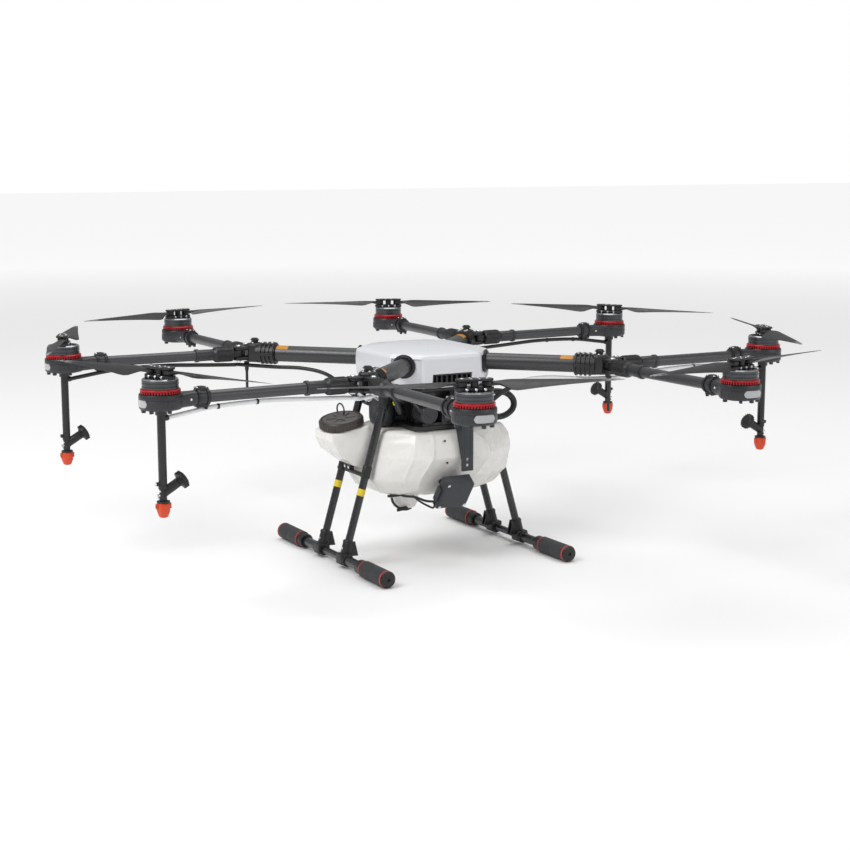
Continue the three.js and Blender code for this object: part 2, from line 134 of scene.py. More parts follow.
def loftShape(rings, capped=True):
    shape = bmesh.new()
    loop = [shape.verts.new(point) for point in rings[0]]
    edges = [shape.edges.new(pair) for pair in zip(loop, loop[1:] + loop[:1])]
    if capped:
        shape.faces.new(loop)
    for ring in rings[1:]:
        made = bmesh.ops.extrude_edge_only(shape, edges=edges)["geom"]
        grown = {g for g in made if isinstance(g, bmesh.types.BMVert)}
        loop = [next(e.other_vert(v) for e in v.link_edges if e.other_vert(v) in grown) for v in loop]
        for vert, point in zip(loop, ring):
            vert.co = point
        edges = [shape.edges.get(pair) for pair in zip(loop, loop[1:] + loop[:1])]
    if capped:
        shape.faces.new(loop)
    bmesh.ops.recalc_face_normals(shape, faces=shape.faces)
    return shape


def smoothRoute(knots, pieces=6):
    knots = [Vector(k) for k in knots]
    padded = [2 * knots[0] - knots[1]] + knots + [2 * knots[-1] - knots[-2]]
    route = []
    for a, b, c, d in zip(padded, padded[1:], padded[2:], padded[3:]):
        for step in range(pieces):
            t = step / pieces
            route.append(0.5 * (2 * b + (c - a) * t + (2 * a - 5 * b + 4 * c - d) * t ** 2
                                + (3 * b - a - 3 * c + d) * t ** 3))
    return route + [knots[-1]]


def tubeShape(knots, radius, sides=12, pieces=6, ribs=0.0):
    route = smoothRoute(knots, pieces)
    up = Vector((0.13, 0.21, 0.97))
    rings = []
    for number, point in enumerate(route):
        way = (route[min(number + 1, len(route) - 1)] - route[max(number - 1, 0)]).normalized()
        side = way.cross(up).normalized()
        up = side.cross(way).normalized()
        reach = radius * (1 - ribs * (number % 2))
        rings.append([point + reach * (math.cos(a) * side + math.sin(a) * up)
                      for a in (math.tau * i / sides for i in range(sides))])
    return loftShape(rings)


def wrapped(shape, start, end):
    # lays a pattern round a tube: across is the arc in millimetres, up is the length
    start, way = Vector(start), (Vector(end) - Vector(start)).normalized()
    side = way.orthogonal().normalized()
    other = way.cross(side)
    layer = shape.loops.layers.uv.verify()
    for face in shape.faces:
        middle = face.calc_center_median() - start
        about = math.atan2(middle.dot(other), middle.dot(side))
        for loop in face.loops:
            reach = loop.vert.co - start
            angle = math.atan2(reach.dot(other), reach.dot(side))
            angle += math.tau * round((about - angle) / math.tau)
            loop[layer].uv = (angle * 14, reach.dot(way))
    return shape


def cornered(x, y, cut, height, soften=0.0, points=4):
    # a rectangle with cut corners, its eight bends rounded
    outline = [(x, -y + cut), (x, y - cut), (x - cut, y), (-x + cut, y), (-x, y - cut), (-x, -y + cut),
               (-x + cut, -y), (x - cut, -y)]
    if not soften:
        return [(px, py, height) for px, py in outline]
    ring = []
    for before, here, after in zip(outline[-1:] + outline[:-1], outline, outline[1:] + outline[:1]):
        before, here, after = Vector(before), Vector(here), Vector(after)
        first = here + (before - here).normalized() * soften
        last = here + (after - here).normalized() * soften
        for step in range(points):
            t = step / (points - 1)
            bend = (1 - t) ** 2 * first + 2 * t * (1 - t) * here + t * t * last
            ring.append(bend.to_3d() + Vector((0, 0, height)))
    return ring


def boltShape(place, radius=2.6, tall=2.0, tilt=None):
    head = turnedShape([(0, 0), (radius, 0), (radius, tall * 0.7), (radius * 0.8, tall), (radius * 0.5, tall),
                        (radius * 0.45, tall * 0.45), (0, tall * 0.45)], 12)
    return moved(head, shift(*place) @ (tilt or Matrix()))


def finished(name, shape, looks, body, replaced=(), angle=32):
    bmesh.ops.scale(shape, vec=(0.001, 0.001, 0.001), verts=shape.verts)
    mesh = bpy.data.meshes.new(name)
    bmesh.ops.recalc_face_normals(shape, faces=shape.faces)
    shape.to_mesh(mesh)
    shape.free()
    for look in looks:
        mesh.materials.append(look)
    mesh.shade_smooth()
    mesh.set_sharp_from_angle(angle=math.radians(angle))
    piece = bpy.data.objects.new(name, mesh)
    bpy.context.scene.collection.objects.link(piece)
    if body:
        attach(piece, body)
    if replaced:
        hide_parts(*replaced)
    return piece


# shader groups and materials

def newGroup(name, inputs, outputs):
    group = bpy.data.node_groups.new(name, "ShaderNodeTree")
    for label, kind, value in inputs:
        group.interface.new_socket(name=label, in_out="INPUT",
                                   socket_type="NodeSocket" + kind).default_value = value
    for label, kind in outputs:
        group.interface.new_socket(name=label, in_out="OUTPUT", socket_type="NodeSocket" + kind)
    return group, group.nodes.new("NodeGroupInput"), group.nodes.new("NodeGroupOutput")


def added(tree, kind, settings=None, **values):
    node = tree.nodes.new("ShaderNode" + kind)
    for key, value in (settings or {}).items():
        setattr(node, key, value)
    for key, value in values.items():
        node.inputs[key.replace("_", " ")].default_value = value
    return node


def maths(tree, operation, first, second=0.5, third=None):
    node = tree.nodes.new("ShaderNodeMath")
    node.operation = operation
    for number, value in enumerate([first, second] + ([third] if third is not None else [])):
        if isinstance(value, (int, float)):
            node.inputs[number].default_value = value
        else:
            tree.links.new(value, node.inputs[number])
    return node.outputs[0]


def makeMottle():
    # uneven colour and gloss, as on moulded and handled plastic
    group, given, out = newGroup(
        "mottle",
        [("Colour", "Color", (0.5, 0.5, 0.5, 1)), ("Contrast", "Float", 0.1), ("Size", "Float", 40.0),
         ("Gloss", "Float", 0.5), ("Spread", "Float", 0.05)],
        [("Colour", "Color"), ("Roughness", "Float")])
    place = group.nodes.new("ShaderNodeTexCoord")
    cloud = added(group, "TexNoise", Detail=4.0, Roughness=0.6)
    fine = added(group, "TexNoise", Detail=3.0)
    group.links.new(place.outputs["Object"], cloud.inputs["Vector"])
    group.links.new(place.outputs["Object"], fine.inputs["Vector"])
    group.links.new(given.outputs["Size"], cloud.inputs["Scale"])
    group.links.new(maths(group, "MULTIPLY", given.outputs["Size"], 4.3), fine.inputs["Scale"])
    swing = maths(group, "MULTIPLY", maths(group, "SUBTRACT", cloud.outputs["Fac"], 0.5),
                  given.outputs["Contrast"])
    lift = maths(group, "MULTIPLY_ADD", swing, 3.0, 1.0)
    scale = added(group, "VectorMath", {"operation": "SCALE"})
    group.links.new(given.outputs["Colour"], scale.inputs[0])
    group.links.new(lift, scale.inputs["Scale"])
    group.links.new(scale.outputs[0], out.inputs["Colour"])
    sway = maths(group, "MULTIPLY", maths(group, "SUBTRACT", fine.outputs["Fac"], 0.5),
                 given.outputs["Spread"])
    group.links.new(maths(group, "MULTIPLY_ADD", sway, 3.0, given.outputs["Gloss"]), out.inputs["Roughness"])
    return group


def makeGrain():
    # fine moulded grain as a height
    group, given, out = newGroup("grain", [("Size", "Float", 900.0)], [("Height", "Float")])
    place = group.nodes.new("ShaderNodeTexCoord")
    noise = added(group, "TexNoise", Detail=2.0)
    group.links.new(place.outputs["Object"], noise.inputs["Vector"])
    group.links.new(given.outputs["Size"], noise.inputs["Scale"])
    group.links.new(noise.outputs["Fac"], out.inputs["Height"])
    return group


def makeWeave():
    # twill cloth of carbon tows, from the tube's own wrap in millimetres; its tone is the twill pattern plus
    # painted shading across each tow
    group, given, out = newGroup("twill", [("Tow", "Float", 2.0)], [("WeaveAndTowShading", "Float"), ("Height", "Float")])
    wrap = group.nodes.new("ShaderNodeUVMap")
    parts = group.nodes.new("ShaderNodeSeparateXYZ")
    group.links.new(wrap.outputs[0], parts.inputs[0])
    across = maths(group, "DIVIDE", parts.outputs[0], given.outputs["Tow"])
    along = maths(group, "DIVIDE", parts.outputs[1], given.outputs["Tow"])
    steps = maths(group, "SUBTRACT", maths(group, "FLOOR", across), maths(group, "FLOOR", along))
    over = maths(group, "LESS_THAN", maths(group, "FRACT", maths(group, "MULTIPLY", steps, 0.25)), 0.49)
    warp = maths(group, "SINE", maths(group, "MULTIPLY", maths(group, "FRACT", across), math.pi))
    weft = maths(group, "SINE", maths(group, "MULTIPLY", maths(group, "FRACT", along), math.pi))
    height = added(group, "Mix", {"data_type": "FLOAT"})
    group.links.new(over, height.inputs[0])
    group.links.new(weft, height.inputs[2])
    group.links.new(warp, height.inputs[3])
    group.links.new(height.outputs[0], out.inputs["Height"])
    # painted shading: each tow is made lighter along its crown and darker at its edges, following its rounded
    # height
    towCrownShading = maths(group, "MULTIPLY", height.outputs[0], 0.55)
    group.links.new(maths(group, "MULTIPLY_ADD", over, 0.45, towCrownShading), out.inputs["WeaveAndTowShading"])
    return group


mottle, grain, twill = makeMottle(), makeGrain(), makeWeave()


def startLook(name, metallic, values):
    look = bpy.data.materials.new(name)
    look.use_nodes = True
    tree = look.node_tree
    shader = next(n for n in tree.nodes if n.type == "BSDF_PRINCIPLED")
    shader.inputs["Metallic"].default_value = metallic
    for key, value in values.items():
        shader.inputs[key].default_value = value
    return look, tree, shader


def mottled(tree, colour, contrast, size, gloss, spread):
    node = tree.nodes.new("ShaderNodeGroup")
    node.node_tree = mottle
    for key, value in (("Colour", (*colour, 1)), ("Contrast", contrast), ("Size", size), ("Gloss", gloss),
                       ("Spread", spread)):
        node.inputs[key].default_value = value
    return node


def bumped(tree, shader, height, strength, distance):
    bump = added(tree, "Bump", Strength=strength, Distance=distance)
    tree.links.new(height, bump.inputs["Height"])
    tree.links.new(bump.outputs[0], shader.inputs["Normal"])


def surfaceLook(name, colour, gloss, metallic=0.0, contrast=0.1, size=30, spread=0.05, grainSize=900,
                bump=0.15, **values):
    look, tree, shader = startLook(name, metallic, values)
    base = mottled(tree, colour, contrast, size, gloss, spread)
    tree.links.new(base.outputs["Colour"], shader.inputs["Base Color"])
    tree.links.new(base.outputs["Roughness"], shader.inputs["Roughness"])
    fine = tree.nodes.new("ShaderNodeGroup")
    fine.node_tree = grain
    fine.inputs["Size"].default_value = grainSize
    bumped(tree, shader, fine.outputs["Height"], bump, 0.0004)
    return look


def carbonLook(name, dark, bright, gloss, tow):
    look, tree, shader = startLook(name, 0.0, {"Coat Weight": 0.25, "Coat Roughness": 0.22, "IOR": 1.55})
    cloth = tree.nodes.new("ShaderNodeGroup")
    cloth.node_tree = twill
    cloth.inputs["Tow"].default_value = tow
    mix = added(tree, "Mix", {"data_type": "RGBA"})
    mix.inputs[6].default_value, mix.inputs[7].default_value = (*dark, 1), (*bright, 1)
    # the tows' tone mixes the twill pattern with painted shading across each tow
    tree.links.new(cloth.outputs["WeaveAndTowShading"], mix.inputs[0])
    tree.links.new(mix.outputs[2], shader.inputs["Base Color"])
    base = mottled(tree, dark, 0.1, 25, gloss, 0.08)
    tree.links.new(base.outputs["Roughness"], shader.inputs["Roughness"])
    bumped(tree, shader, cloth.outputs["Height"], 0.25, 0.0002)
    return look


def bladeLook():
    # satin black composite, paler in speckled patches towards the tip; the wrap's first number runs from root
    # to tip
    look, tree, shader = startLook("bladeComposite", 0.0, {"IOR": 1.5})
    wrap = tree.nodes.new("ShaderNodeUVMap")
    parts = tree.nodes.new("ShaderNodeSeparateXYZ")
    tree.links.new(wrap.outputs[0], parts.inputs[0])
    place = tree.nodes.new("ShaderNodeTexCoord")
    patchNoise = added(tree, "TexNoise", Scale=140.0, Detail=5.0, Roughness=0.7)
    tree.links.new(place.outputs["Object"], patchNoise.inputs["Vector"])
    reach = added(tree, "MapRange", From_Min=0.8, From_Max=1.0)
    tree.links.new(parts.outputs[0], reach.inputs["Value"])
    # paler patches over the last fifth of the blade, towards the tip
    paleTipMask = maths(tree, "MULTIPLY", reach.outputs[0], maths(tree, "GREATER_THAN", patchNoise.outputs["Fac"], 0.46))
    base = mottled(tree, (0.012, 0.0125, 0.0135), 0.14, 22, 0.46, 0.1)
    mix = added(tree, "Mix", {"data_type": "RGBA"})
    mix.inputs[7].default_value = (0.34, 0.35, 0.36, 1)
    tree.links.new(paleTipMask, mix.inputs[0])
    tree.links.new(base.outputs["Colour"], mix.inputs[6])
    tree.links.new(mix.outputs[2], shader.inputs["Base Color"])
    tree.links.new(base.outputs["Roughness"], shader.inputs["Roughness"])
    bumped(tree, shader, patchNoise.outputs["Fac"], 0.1, 0.0003)
    return look


def tankLook():
    # natural polyethylene: cloudy, faintly warm, with slow waves in its moulded wall
    look, tree, shader = startLook("tankPolyethylene", 0.0, {
        "Subsurface Weight": 0.16, "Subsurface Radius": (0.03, 0.027, 0.022), "Subsurface Scale": 0.4,
        "IOR": 1.5, "Coat Weight": 0.16, "Coat Roughness": 0.2})
    base = mottled(tree, (0.8, 0.79, 0.755), 0.045, 9, 0.28, 0.08)
    tree.links.new(base.outputs["Colour"], shader.inputs["Base Color"])
    tree.links.new(base.outputs["Roughness"], shader.inputs["Roughness"])
    place = tree.nodes.new("ShaderNodeTexCoord")
    waves = added(tree, "TexNoise", Scale=18.0, Detail=2.0)
    tree.links.new(place.outputs["Object"], waves.inputs["Vector"])
    bumped(tree, shader, waves.outputs["Fac"], 0.1, 0.003)
    return look


looks = {
    "boomCarbon": carbonLook("boomCarbon", (0.01, 0.0104, 0.0115), (0.02, 0.021, 0.023), 0.38, 2.2),
    "armCarbon": carbonLook("armCarbon", (0.017, 0.0178, 0.0195), (0.034, 0.0352, 0.038), 0.34, 2.0),
    "legCarbon": carbonLook("legCarbon", (0.007, 0.007, 0.009), (0.015, 0.0155, 0.019), 0.26, 1.8),
    "blackNylon": surfaceLook("blackNylon", (0.009, 0.0095, 0.0105), 0.4, contrast=0.16, spread=0.12,
                              bump=0.3, grainSize=1400),
    "greyNylon": surfaceLook("greyNylon", (0.022, 0.0235, 0.027), 0.38, contrast=0.12, spread=0.1, bump=0.25,
                             grainSize=1400),
    "motorGrey": surfaceLook("motorGrey", (0.085, 0.088, 0.094), 0.3, 0.85, contrast=0.05, size=40, bump=0.02,
                             grainSize=2200),
    "motorBright": surfaceLook("motorBright", (0.34, 0.35, 0.36), 0.22, 1.0, contrast=0.05, size=40,
                               bump=0.02, grainSize=2200),
    "chrome": surfaceLook("chrome", (0.75, 0.76, 0.78), 0.16, 1.0, contrast=0.04, size=80, bump=0.03,
                          grainSize=2500),
    "redAnodised": surfaceLook("redAnodised", (0.42, 0.006, 0.012), 0.3, 0.3, contrast=0.08, size=70,
                               bump=0.06),
    "redRubber": surfaceLook("redRubber", (0.45, 0.04, 0.035), 0.5, contrast=0.12, size=60, bump=0.2),
    "coverWhite": surfaceLook("coverWhite", (0.66, 0.672, 0.7), 0.3, contrast=0.012, size=14, spread=0.04,
                              bump=0.03, grainSize=500, **{"Coat Weight": 0.3, "Coat Roughness": 0.12}),
    "orangePlastic": surfaceLook("orangePlastic", (0.66, 0.055, 0.008), 0.32, contrast=0.08, size=80,
                                 bump=0.1),
    "orangeTape": surfaceLook("orangeTape", (0.5, 0.2, 0.02), 0.45, contrast=0.12, size=70, bump=0.12),
    "yellowBand": surfaceLook("yellowBand", (0.72, 0.56, 0.03), 0.42, contrast=0.1, size=70, bump=0.1),
    "lensGrey": surfaceLook("lensGrey", (0.42, 0.43, 0.44), 0.2, contrast=0.05, size=80, bump=0.05,
                            **{"Coat Weight": 0.6}),
    "whiteHose": surfaceLook("whiteHose", (0.74, 0.75, 0.76), 0.35, contrast=0.04, size=30, bump=0.06,
                             **{"Subsurface Weight": 0.25, "Subsurface Radius": (0.004, 0.004, 0.004)}),
    "blackHose": surfaceLook("blackHose", (0.012, 0.012, 0.013), 0.4, contrast=0.14, size=50, bump=0.15),
    "foamGrip": surfaceLook("foamGrip", (0.032, 0.033, 0.036), 0.66, contrast=0.22, size=120, spread=0.1,
                            bump=0.7, grainSize=1100),
    "capBrown": surfaceLook("capBrown", (0.04, 0.031, 0.025), 0.34, contrast=0.2, size=40, spread=0.1,
                            bump=0.15),
    "capTop": surfaceLook("capTop", (0.075, 0.07, 0.066), 0.4, contrast=0.16, size=50, spread=0.12, bump=0.3),
    "radarGrey": surfaceLook("radarGrey", (0.026, 0.03, 0.036), 0.46, contrast=0.07, size=24, bump=0.3,
                             grainSize=1800),
    "tank": tankLook(),
    "blade": bladeLook(),
}
print("materials made")


# places of the arms and rotors, from the layout

def armPlaces():
    places = []
    corner = layout["yokeRadius"] / math.sqrt(2)
    reach = layout["pivotReach"]
    for index, rest in enumerate(layout["bladeRest"]):
        angle = math.radians(22.5 + 45 * index)
        centre = Vector((math.cos(angle), math.sin(angle), 0)) * layout["rotorCircle"]
        near = (corner + reach, corner + 1) if index % 2 == 0 else (corner + 1, corner + reach)
        pivot = turn(90 * (index // 2)) @ Vector((*near, 0))
        way = centre - pivot
        heading = math.degrees(math.atan2(way.y, way.x))
        places.append({
            "number": index + 1, "centre": centre, "rest": rest, "length": way.length,
            "place": shift(pivot.x, pivot.y, layout["boomHeight"]) @ turn(heading),
        })
    return places


arms = armPlaces()

# booms and their yokes
boomSpec = {"end": 368, "tapeStart": 301, "tapeEnd": 327, "tapeReach": 50}


def boomParts():
    tube = turnedShape([(16, 62), (17.2, 62), (17.5, 62.4), (17.5, boomSpec["end"]), (16, boomSpec["end"]),
                        (16, 62)], 48, "X")
    ring = turnedShape([(17.4, boomSpec["tapeStart"]), (17.72, boomSpec["tapeStart"]),
                        (17.72, boomSpec["tapeEnd"]), (17.4, boomSpec["tapeEnd"]),
                        (17.4, boomSpec["tapeStart"])], 72, "X")
    low = math.cos(math.radians(boomSpec["tapeReach"])) * 17.4
    everything = ring.verts[:] + ring.edges[:] + ring.faces[:]
    bmesh.ops.bisect_plane(ring, geom=everything, plane_co=(0, 0, low), plane_no=(0, 0, -1), clear_outer=True)
    bmesh.ops.holes_fill(ring, edges=[e for e in ring.edges if e.is_boundary])
    return wrapped(tube, (0, 0, 0), (1, 0, 0)), ring


yokeSpec = {"ribs": [331.5, 341, 350.5, 360], "knob": 12, "boltRadius": 2.8}


def yokeParts():
    centre = layout["yokeRadius"] / math.sqrt(2) - 6
    corner, reach = layout["yokeRadius"] / math.sqrt(2), layout["pivotReach"]
    ribs = [p for along in yokeSpec["ribs"] for p in ((21.4, along), (24, along + 0.6), (24, along + 3.6),
                                                      (21.4, along + 4.2))]
    clamp = turnedShape([(17.9, 330), (21.4, 330)] + ribs + [(21.4, 374), (17.9, 374), (17.9, 330)], 40, "X")
    split = boxShape((331, -26, -3.2), (366, -20, 3.2), 0.8)
    parts = [clamp, split, copied(split, turn(180, "X"))]
    bolts = [boltShape((338 + 11 * step, side * 7, 22.6), yokeSpec["boltRadius"], 2.2)
             for step in range(3) for side in (-1, 1)]
    ears = [boxShape((333 + 11 * step, -12, 19), (343 + 11 * step, 12, 23), 1.2) for step in range(3)]
    body = together(parts + ears)
    moved(body, turn(45))
    bright = together(bolts)
    moved(bright, turn(45))
    middle = loftShape([cornered(17, 17, 8, z) for z in (-19, 18)] + [cornered(13, 13, 6, 22.6)])
    rounded(middle, 2.2, 3, 40)
    moved(middle, shift(centre, centre) @ turn(45))
    plates = []
    pins = []
    span = corner + reach - centre
    for x, y, root in ((corner + reach, corner + 1, shift(centre, corner + 1)),
                       (corner + 1, corner + reach, shift(corner + 1, centre) @ turn(90))):
        for low, high in ((7.5, 15), (-15, -7.5)):
            arc = [(span + 13 * math.cos(a), 13 * math.sin(a))
                   for a in (math.radians(-90 + 15 * i) for i in range(13))]
            outline = [(0, -13)] + arc + [(0, 13)]
            plate = loftShape([[(px, py, low) for px, py in outline], [(px, py, high) for px, py in outline]])
            rounded(plate, 1.3, 2, 50)
            plates.append(moved(plate, root))
        pins.append(boltShape((x, y, 15), 5.4, 3.2))
        pins.append(moved(boltShape((0, 0, 0), 5.4, 3.2), shift(x, y, -15) @ turn(180, "X")))
        pins.append(rodShape((x, y, -14.8), (x, y, 14.8), 3, 16))
        web = boxShape((4, -9, -14), (18, 9, 14), 2)
        plates.append(moved(web, root))
    size = yokeSpec["knob"] / 2
    knob = boxShape((centre - size, centre - size, 21), (centre + size, centre + size, 32.8), 1.4)
    cap = boxShape((centre - size - 1.6, centre - size - 1.6, 27),
                   (centre + size + 1.6, centre + size + 1.6, 30), 0.8)
    black = together([body, middle, knob, cap] + plates)
    rings = [boltShape((centre + dx, centre + dy, 22.4), 2.6, 1.8)
             for dx, dy in ((9, -9), (-9, 9), (11, 2), (2, 11))]
    return black, together([bright] + pins + rings)


tube, tape = boomParts()
yokeBlack, yokeBright = yokeParts()
for index, side in enumerate(layout["quadrants"]):
    lift = shift(0, 0, layout["boomHeight"])
    boomPlace = lift @ turn(45 + 90 * index)
    finished("boomTube_" + side, copied(tube, boomPlace), [looks["boomCarbon"]], "airframe",
             ["boom_" + side])
    finished("boomTape_" + side, copied(tape, boomPlace), [looks["orangeTape"]], "airframe")
    whole = together([painted(copied(yokeBlack), 0), painted(copied(yokeBright), 1)])
    finished("yokeClamp_" + side, moved(whole, lift @ turn(90 * index)),
             [looks["blackNylon"], looks["chrome"]], "airframe", ["yoke_" + side])
print("booms and yokes done")

# arms: hinge tongue, lock nut, sleeve, carbon tube, motor base
armSpec = {
    "nutRadius": 16.9, "flutes": 28, "lensReach": 30, "lensHalf": 7,
    # along, half width, top, foot
    "fairing": [(-92, 14, 14, -14), (-86, 14.6, 14.4, -14.6), (-70, 14.2, 13.8, -14.4),
                (-56, 14.6, 12.6, -14.8), (-44, 17.5, 12.4, -15.4), (-34, 22, 12.3, -15.8),
                (-24, 26, 12.3, -15.8)],
}


def lockNut():
    nut = turnedShape([(0, 14), (13.5, 14), (16.2, 16), (16.2, 55), (12.6, 60), (0, 60)], 56, "X")
    flutes = [moved(boxShape((18, -0.8, 0), (52, 0.8, armSpec["nutRadius"]), 0.4, 1),
                    turn(360 * i / armSpec["flutes"], "X")) for i in range(armSpec["flutes"])]
    return together([nut] + flutes)


def motorBase(length):
    base = turnedShape([(0, -17), (28, -17), (30, -16), (36.5, -15), (38.6, -12.5), (39, -10), (39, 1.6),
                        (38.3, 2.3), (38.3, 3.7), (39, 4.4), (39, 10.6), (38, 12.7), (35, 12.8),
                        (0, 12.8)], 64)
    ribs = [moved(boxShape((37.5, -1.2, -11), (39.4, 1.2, 1), 0.3, 1), turn(side * angle))
            for side in (1, -1) for angle in (62, 74, 86, 98)]
    feet = [moved(boxShape((29, -3, -20.4), (36, 3, -15), 0.8), turn(angle))
            for angle in (0, 38, -38, 96, -96)]
    return moved(together([base] + ribs + feet), shift(length))


def lens(length):
    rings = []
    for step in range(17):
        across = -1 + step / 8
        flat = max(abs(across) - 0.68, 0) / 0.32
        half = armSpec["lensHalf"] * math.sqrt(max(1 - flat * flat, 0.02))
        angle = math.radians(across * armSpec["lensReach"])
        rings.append([(length + r * math.cos(angle), r * math.sin(angle), z - 3.4)
                      for r, z in ((38.2, -half), (39.6, -half * 0.9), (39.9, 0), (39.6, half * 0.9),
                                   (38.2, half))])
    return loftShape(rings)


def fairing(length):
    # grows from the round tube into the side of the motor base
    rings = []
    for along, wide, up, down in armSpec["fairing"]:
        middle, tall = (up + down) / 2, (up - down) / 2
        power = 2.0 if along < -60 else 3.2
        ring = []
        for i in range(32):
            c, s = math.cos(math.tau * i / 32), math.sin(math.tau * i / 32)
            ring.append((length + along, wide * math.copysign(abs(c) ** (2 / power), c),
                         middle + tall * math.copysign(abs(s) ** (2 / power), s)))
        rings.append(ring)
    return loftShape(rings)


def armParts(length):
    arc = [(9.6 * math.cos(a), 9.6 * math.sin(a)) for a in (math.radians(90 + 15 * i) for i in range(13))]
    tongue = loftShape([[(x, y, z) for x, y in [(15, 9.6)] + arc + [(15, -9.6)]] for z in (-6.7, 6.7)])
    rounded(tongue, 0.8, 2, 60)
    sleeve = turnedShape([(0, 59), (11.9, 59), (12.5, 60), (12.5, 93), (14.3, 94), (14.3, 100.4),
                          (11.2, 101.4), (0, 101.4)], 40, "X")
    bands = [turnedShape([(14, a), (16.4, a), (16.4, a + 5), (14, a + 5), (14, a)], 40, "X")
             for a in (length - 90, length - 72)]
    saddle = boxShape((length - 90, -8, 9), (length - 66, 8, 18), 2.4, 3)
    crown = boxShape((length - 83, -6.4, 15), (length - 71, 6.4, 20), 1.8, 3)
    keel = boxShape((length - 88, -9, -18.6), (length - 66, 9, -11), 1.6)
    knobs = [rodShape((length - 84, side, -22), (length - 84, side, -17), 3.2, 14, 0.6) for side in (-6, 6)]
    dark = together([lockNut(), tongue, *bands, saddle, crown, keel] + knobs)
    grey = together([sleeve, fairing(length), motorBase(length)])
    bright = together([boltShape((length - 86, side, 17.8), 2.3, 1.6) for side in (-4.5, 4.5)]
                      + [boltShape((length - 67.6, side, 17.6), 2.3, 1.6) for side in (-4.5, 4.5)]
                      + [moved(boltShape((0, 0, 0), 2.2, 1.4),
                               shift(length - 52, side * 15.4, -1) @ turn(-90 * side, "X"))
                         for side in (-1, 1)])
    carbon = turnedShape([(0, 100), (11, 100), (11, length - 88), (0, length - 88)], 40, "X")
    return dark, grey, bright, lens(length), wrapped(carbon, (0, 0, 0), (1, 0, 0))


armShapes = armParts(arms[0]["length"])
for arm in arms:
    number, body = str(arm["number"]), "arm_assembly_" + str(arm["number"])
    shell = together([painted(copied(part), look) for look, part in enumerate(armShapes[:4])])
    finished("armHousing_" + number, moved(shell, arm["place"]),
             [looks["blackNylon"], looks["greyNylon"], looks["chrome"], looks["lensGrey"]], body,
             ["arm_" + number])
    finished("armTube_" + number, copied(armShapes[4], arm["place"]), [looks["armCarbon"]], body)
print("arms done")

# rotors: toothed red ring, grooved bell, blade clamp
rotorSpec = {"teeth": 42, "spokes": 8, "hubReach": 33, "hubHalf": 12}


def hubPlate(low, high, reach):
    half = rotorSpec["hubHalf"]
    outline = []
    for end in (0, 180):
        for step in range(13):
            angle = math.radians(end - 90 + 15 * step)
            middle = (reach - 11) * (1 if end == 0 else -1)
            outline.append((middle + 11 * math.cos(angle), half * math.sin(angle)))
    return rounded(loftShape([[(x, y, low) for x, y in outline], [(x, y, high) for x, y in outline]]), 0.9, 2,
                   60)


def rotorParts():
    red = turnedShape([(0, 436.4), (35.2, 436.4), (36, 437), (36, 438.8), (34.6, 440.2), (33.2, 440.4),
                       (0, 440.4)], 64)
    teeth = [moved(boxShape((32, -1.3, 431.9), (36, 1.3, 436.8), 0.3, 1), turn(360 * i / rotorSpec["teeth"]))
             for i in range(rotorSpec["teeth"])]
    gap = turnedShape([(0, 431.9), (33.4, 431.9), (33.4, 436.6), (0, 436.6)], 48)
    bell = turnedShape([(0, 440), (32, 440), (32.9, 440.8), (32.9, 444), (31.6, 444.6), (31.6, 446),
                        (32.9, 446.6), (32.9, 450.6), (32, 451.1), (32, 452.1), (32.9, 452.6),
                        (32.9, 455.4), (32, 456.4), (0, 456.4)], 64)
    rim = turnedShape([(25.5, 456), (32.2, 456.2), (32.4, 457), (30.6, 458.8), (26.5, 458.9), (25.5, 457.6),
                       (25.5, 456)], 64)
    spokes = [moved(boxShape((8, -2.2, 456), (28, 2.2, 458.6), 0.7),
                    turn(22.5 + 360 * i / rotorSpec["spokes"])) for i in range(rotorSpec["spokes"])]
    hub = rodShape((0, 0, 456), (0, 0, 458.6), 13, 32, 0.8)
    lower = hubPlate(458.4, 464.6, rotorSpec["hubReach"] + 1)
    upper = hubPlate(475.4, 479.1, rotorSpec["hubReach"])
    column = turnedShape([(0, 464), (8.6, 464), (7, 466), (7, 474), (8.6, 476), (0, 476)], 32)
    bolts = [boltShape((x, 0, 478.6), 3.6, 1.4) for x in (-22, 22)]
    bolts += [boltShape((x, y, 478.6), 2.2, 1.2) for x, y in ((-7, -6), (7, -6), (-7, 6), (7, 6))]
    bolts += [rodShape((x, 0, 460), (x, 0, 478.6), 3, 16) for x in (-22, 22)]
    side = [moved(boltShape((0, 0, 0), 2.6, 1.6), shift(x, y * 12, 461.5) @ turn(-90 * y, "X"))
            for x in (-16, 0, 16) for y in (-1, 1)]
    return [together([red] + teeth), together([gap, hub, lower, upper, column] + spokes), bell, rim,
            together(bolts + side)]


rotorShapes = rotorParts()
rotorLooks = [looks["redAnodised"], looks["blackNylon"], looks["motorGrey"], looks["motorBright"],
              looks["chrome"]]

# along, leading edge, trailing edge, half thickness, pitch
bladeSpec = {"stations": [(2, 7.6, -7.6, 4.2, 0), (11, 7.2, -7.8, 4.1, 0.04), (20, 7.6, -9, 3.5, 0.18),
                          (28, 9.2, -15, 3, 0.33), (37, 11.2, -23.6, 2.7, 0.38),
                          (46, 12, -27, 2.5, 0.37), (58, 11.9, -26.2, 2.2, 0.36), (80, 11, -23, 1.9, 0.33),
                          (110, 9.7, -19, 1.6, 0.3), (145, 7.9, -14.6, 1.35, 0.265),
                          (180, 6, -11, 1.15, 0.225), (212, 3.9, -8, 0.95, 0.19), (234, 2, -5.8, 0.8, 0.165),
                          (242, 0.2, -4.4, 0.5, 0.155), (245, -1.2, -3.2, 0.25, 0.155)]}


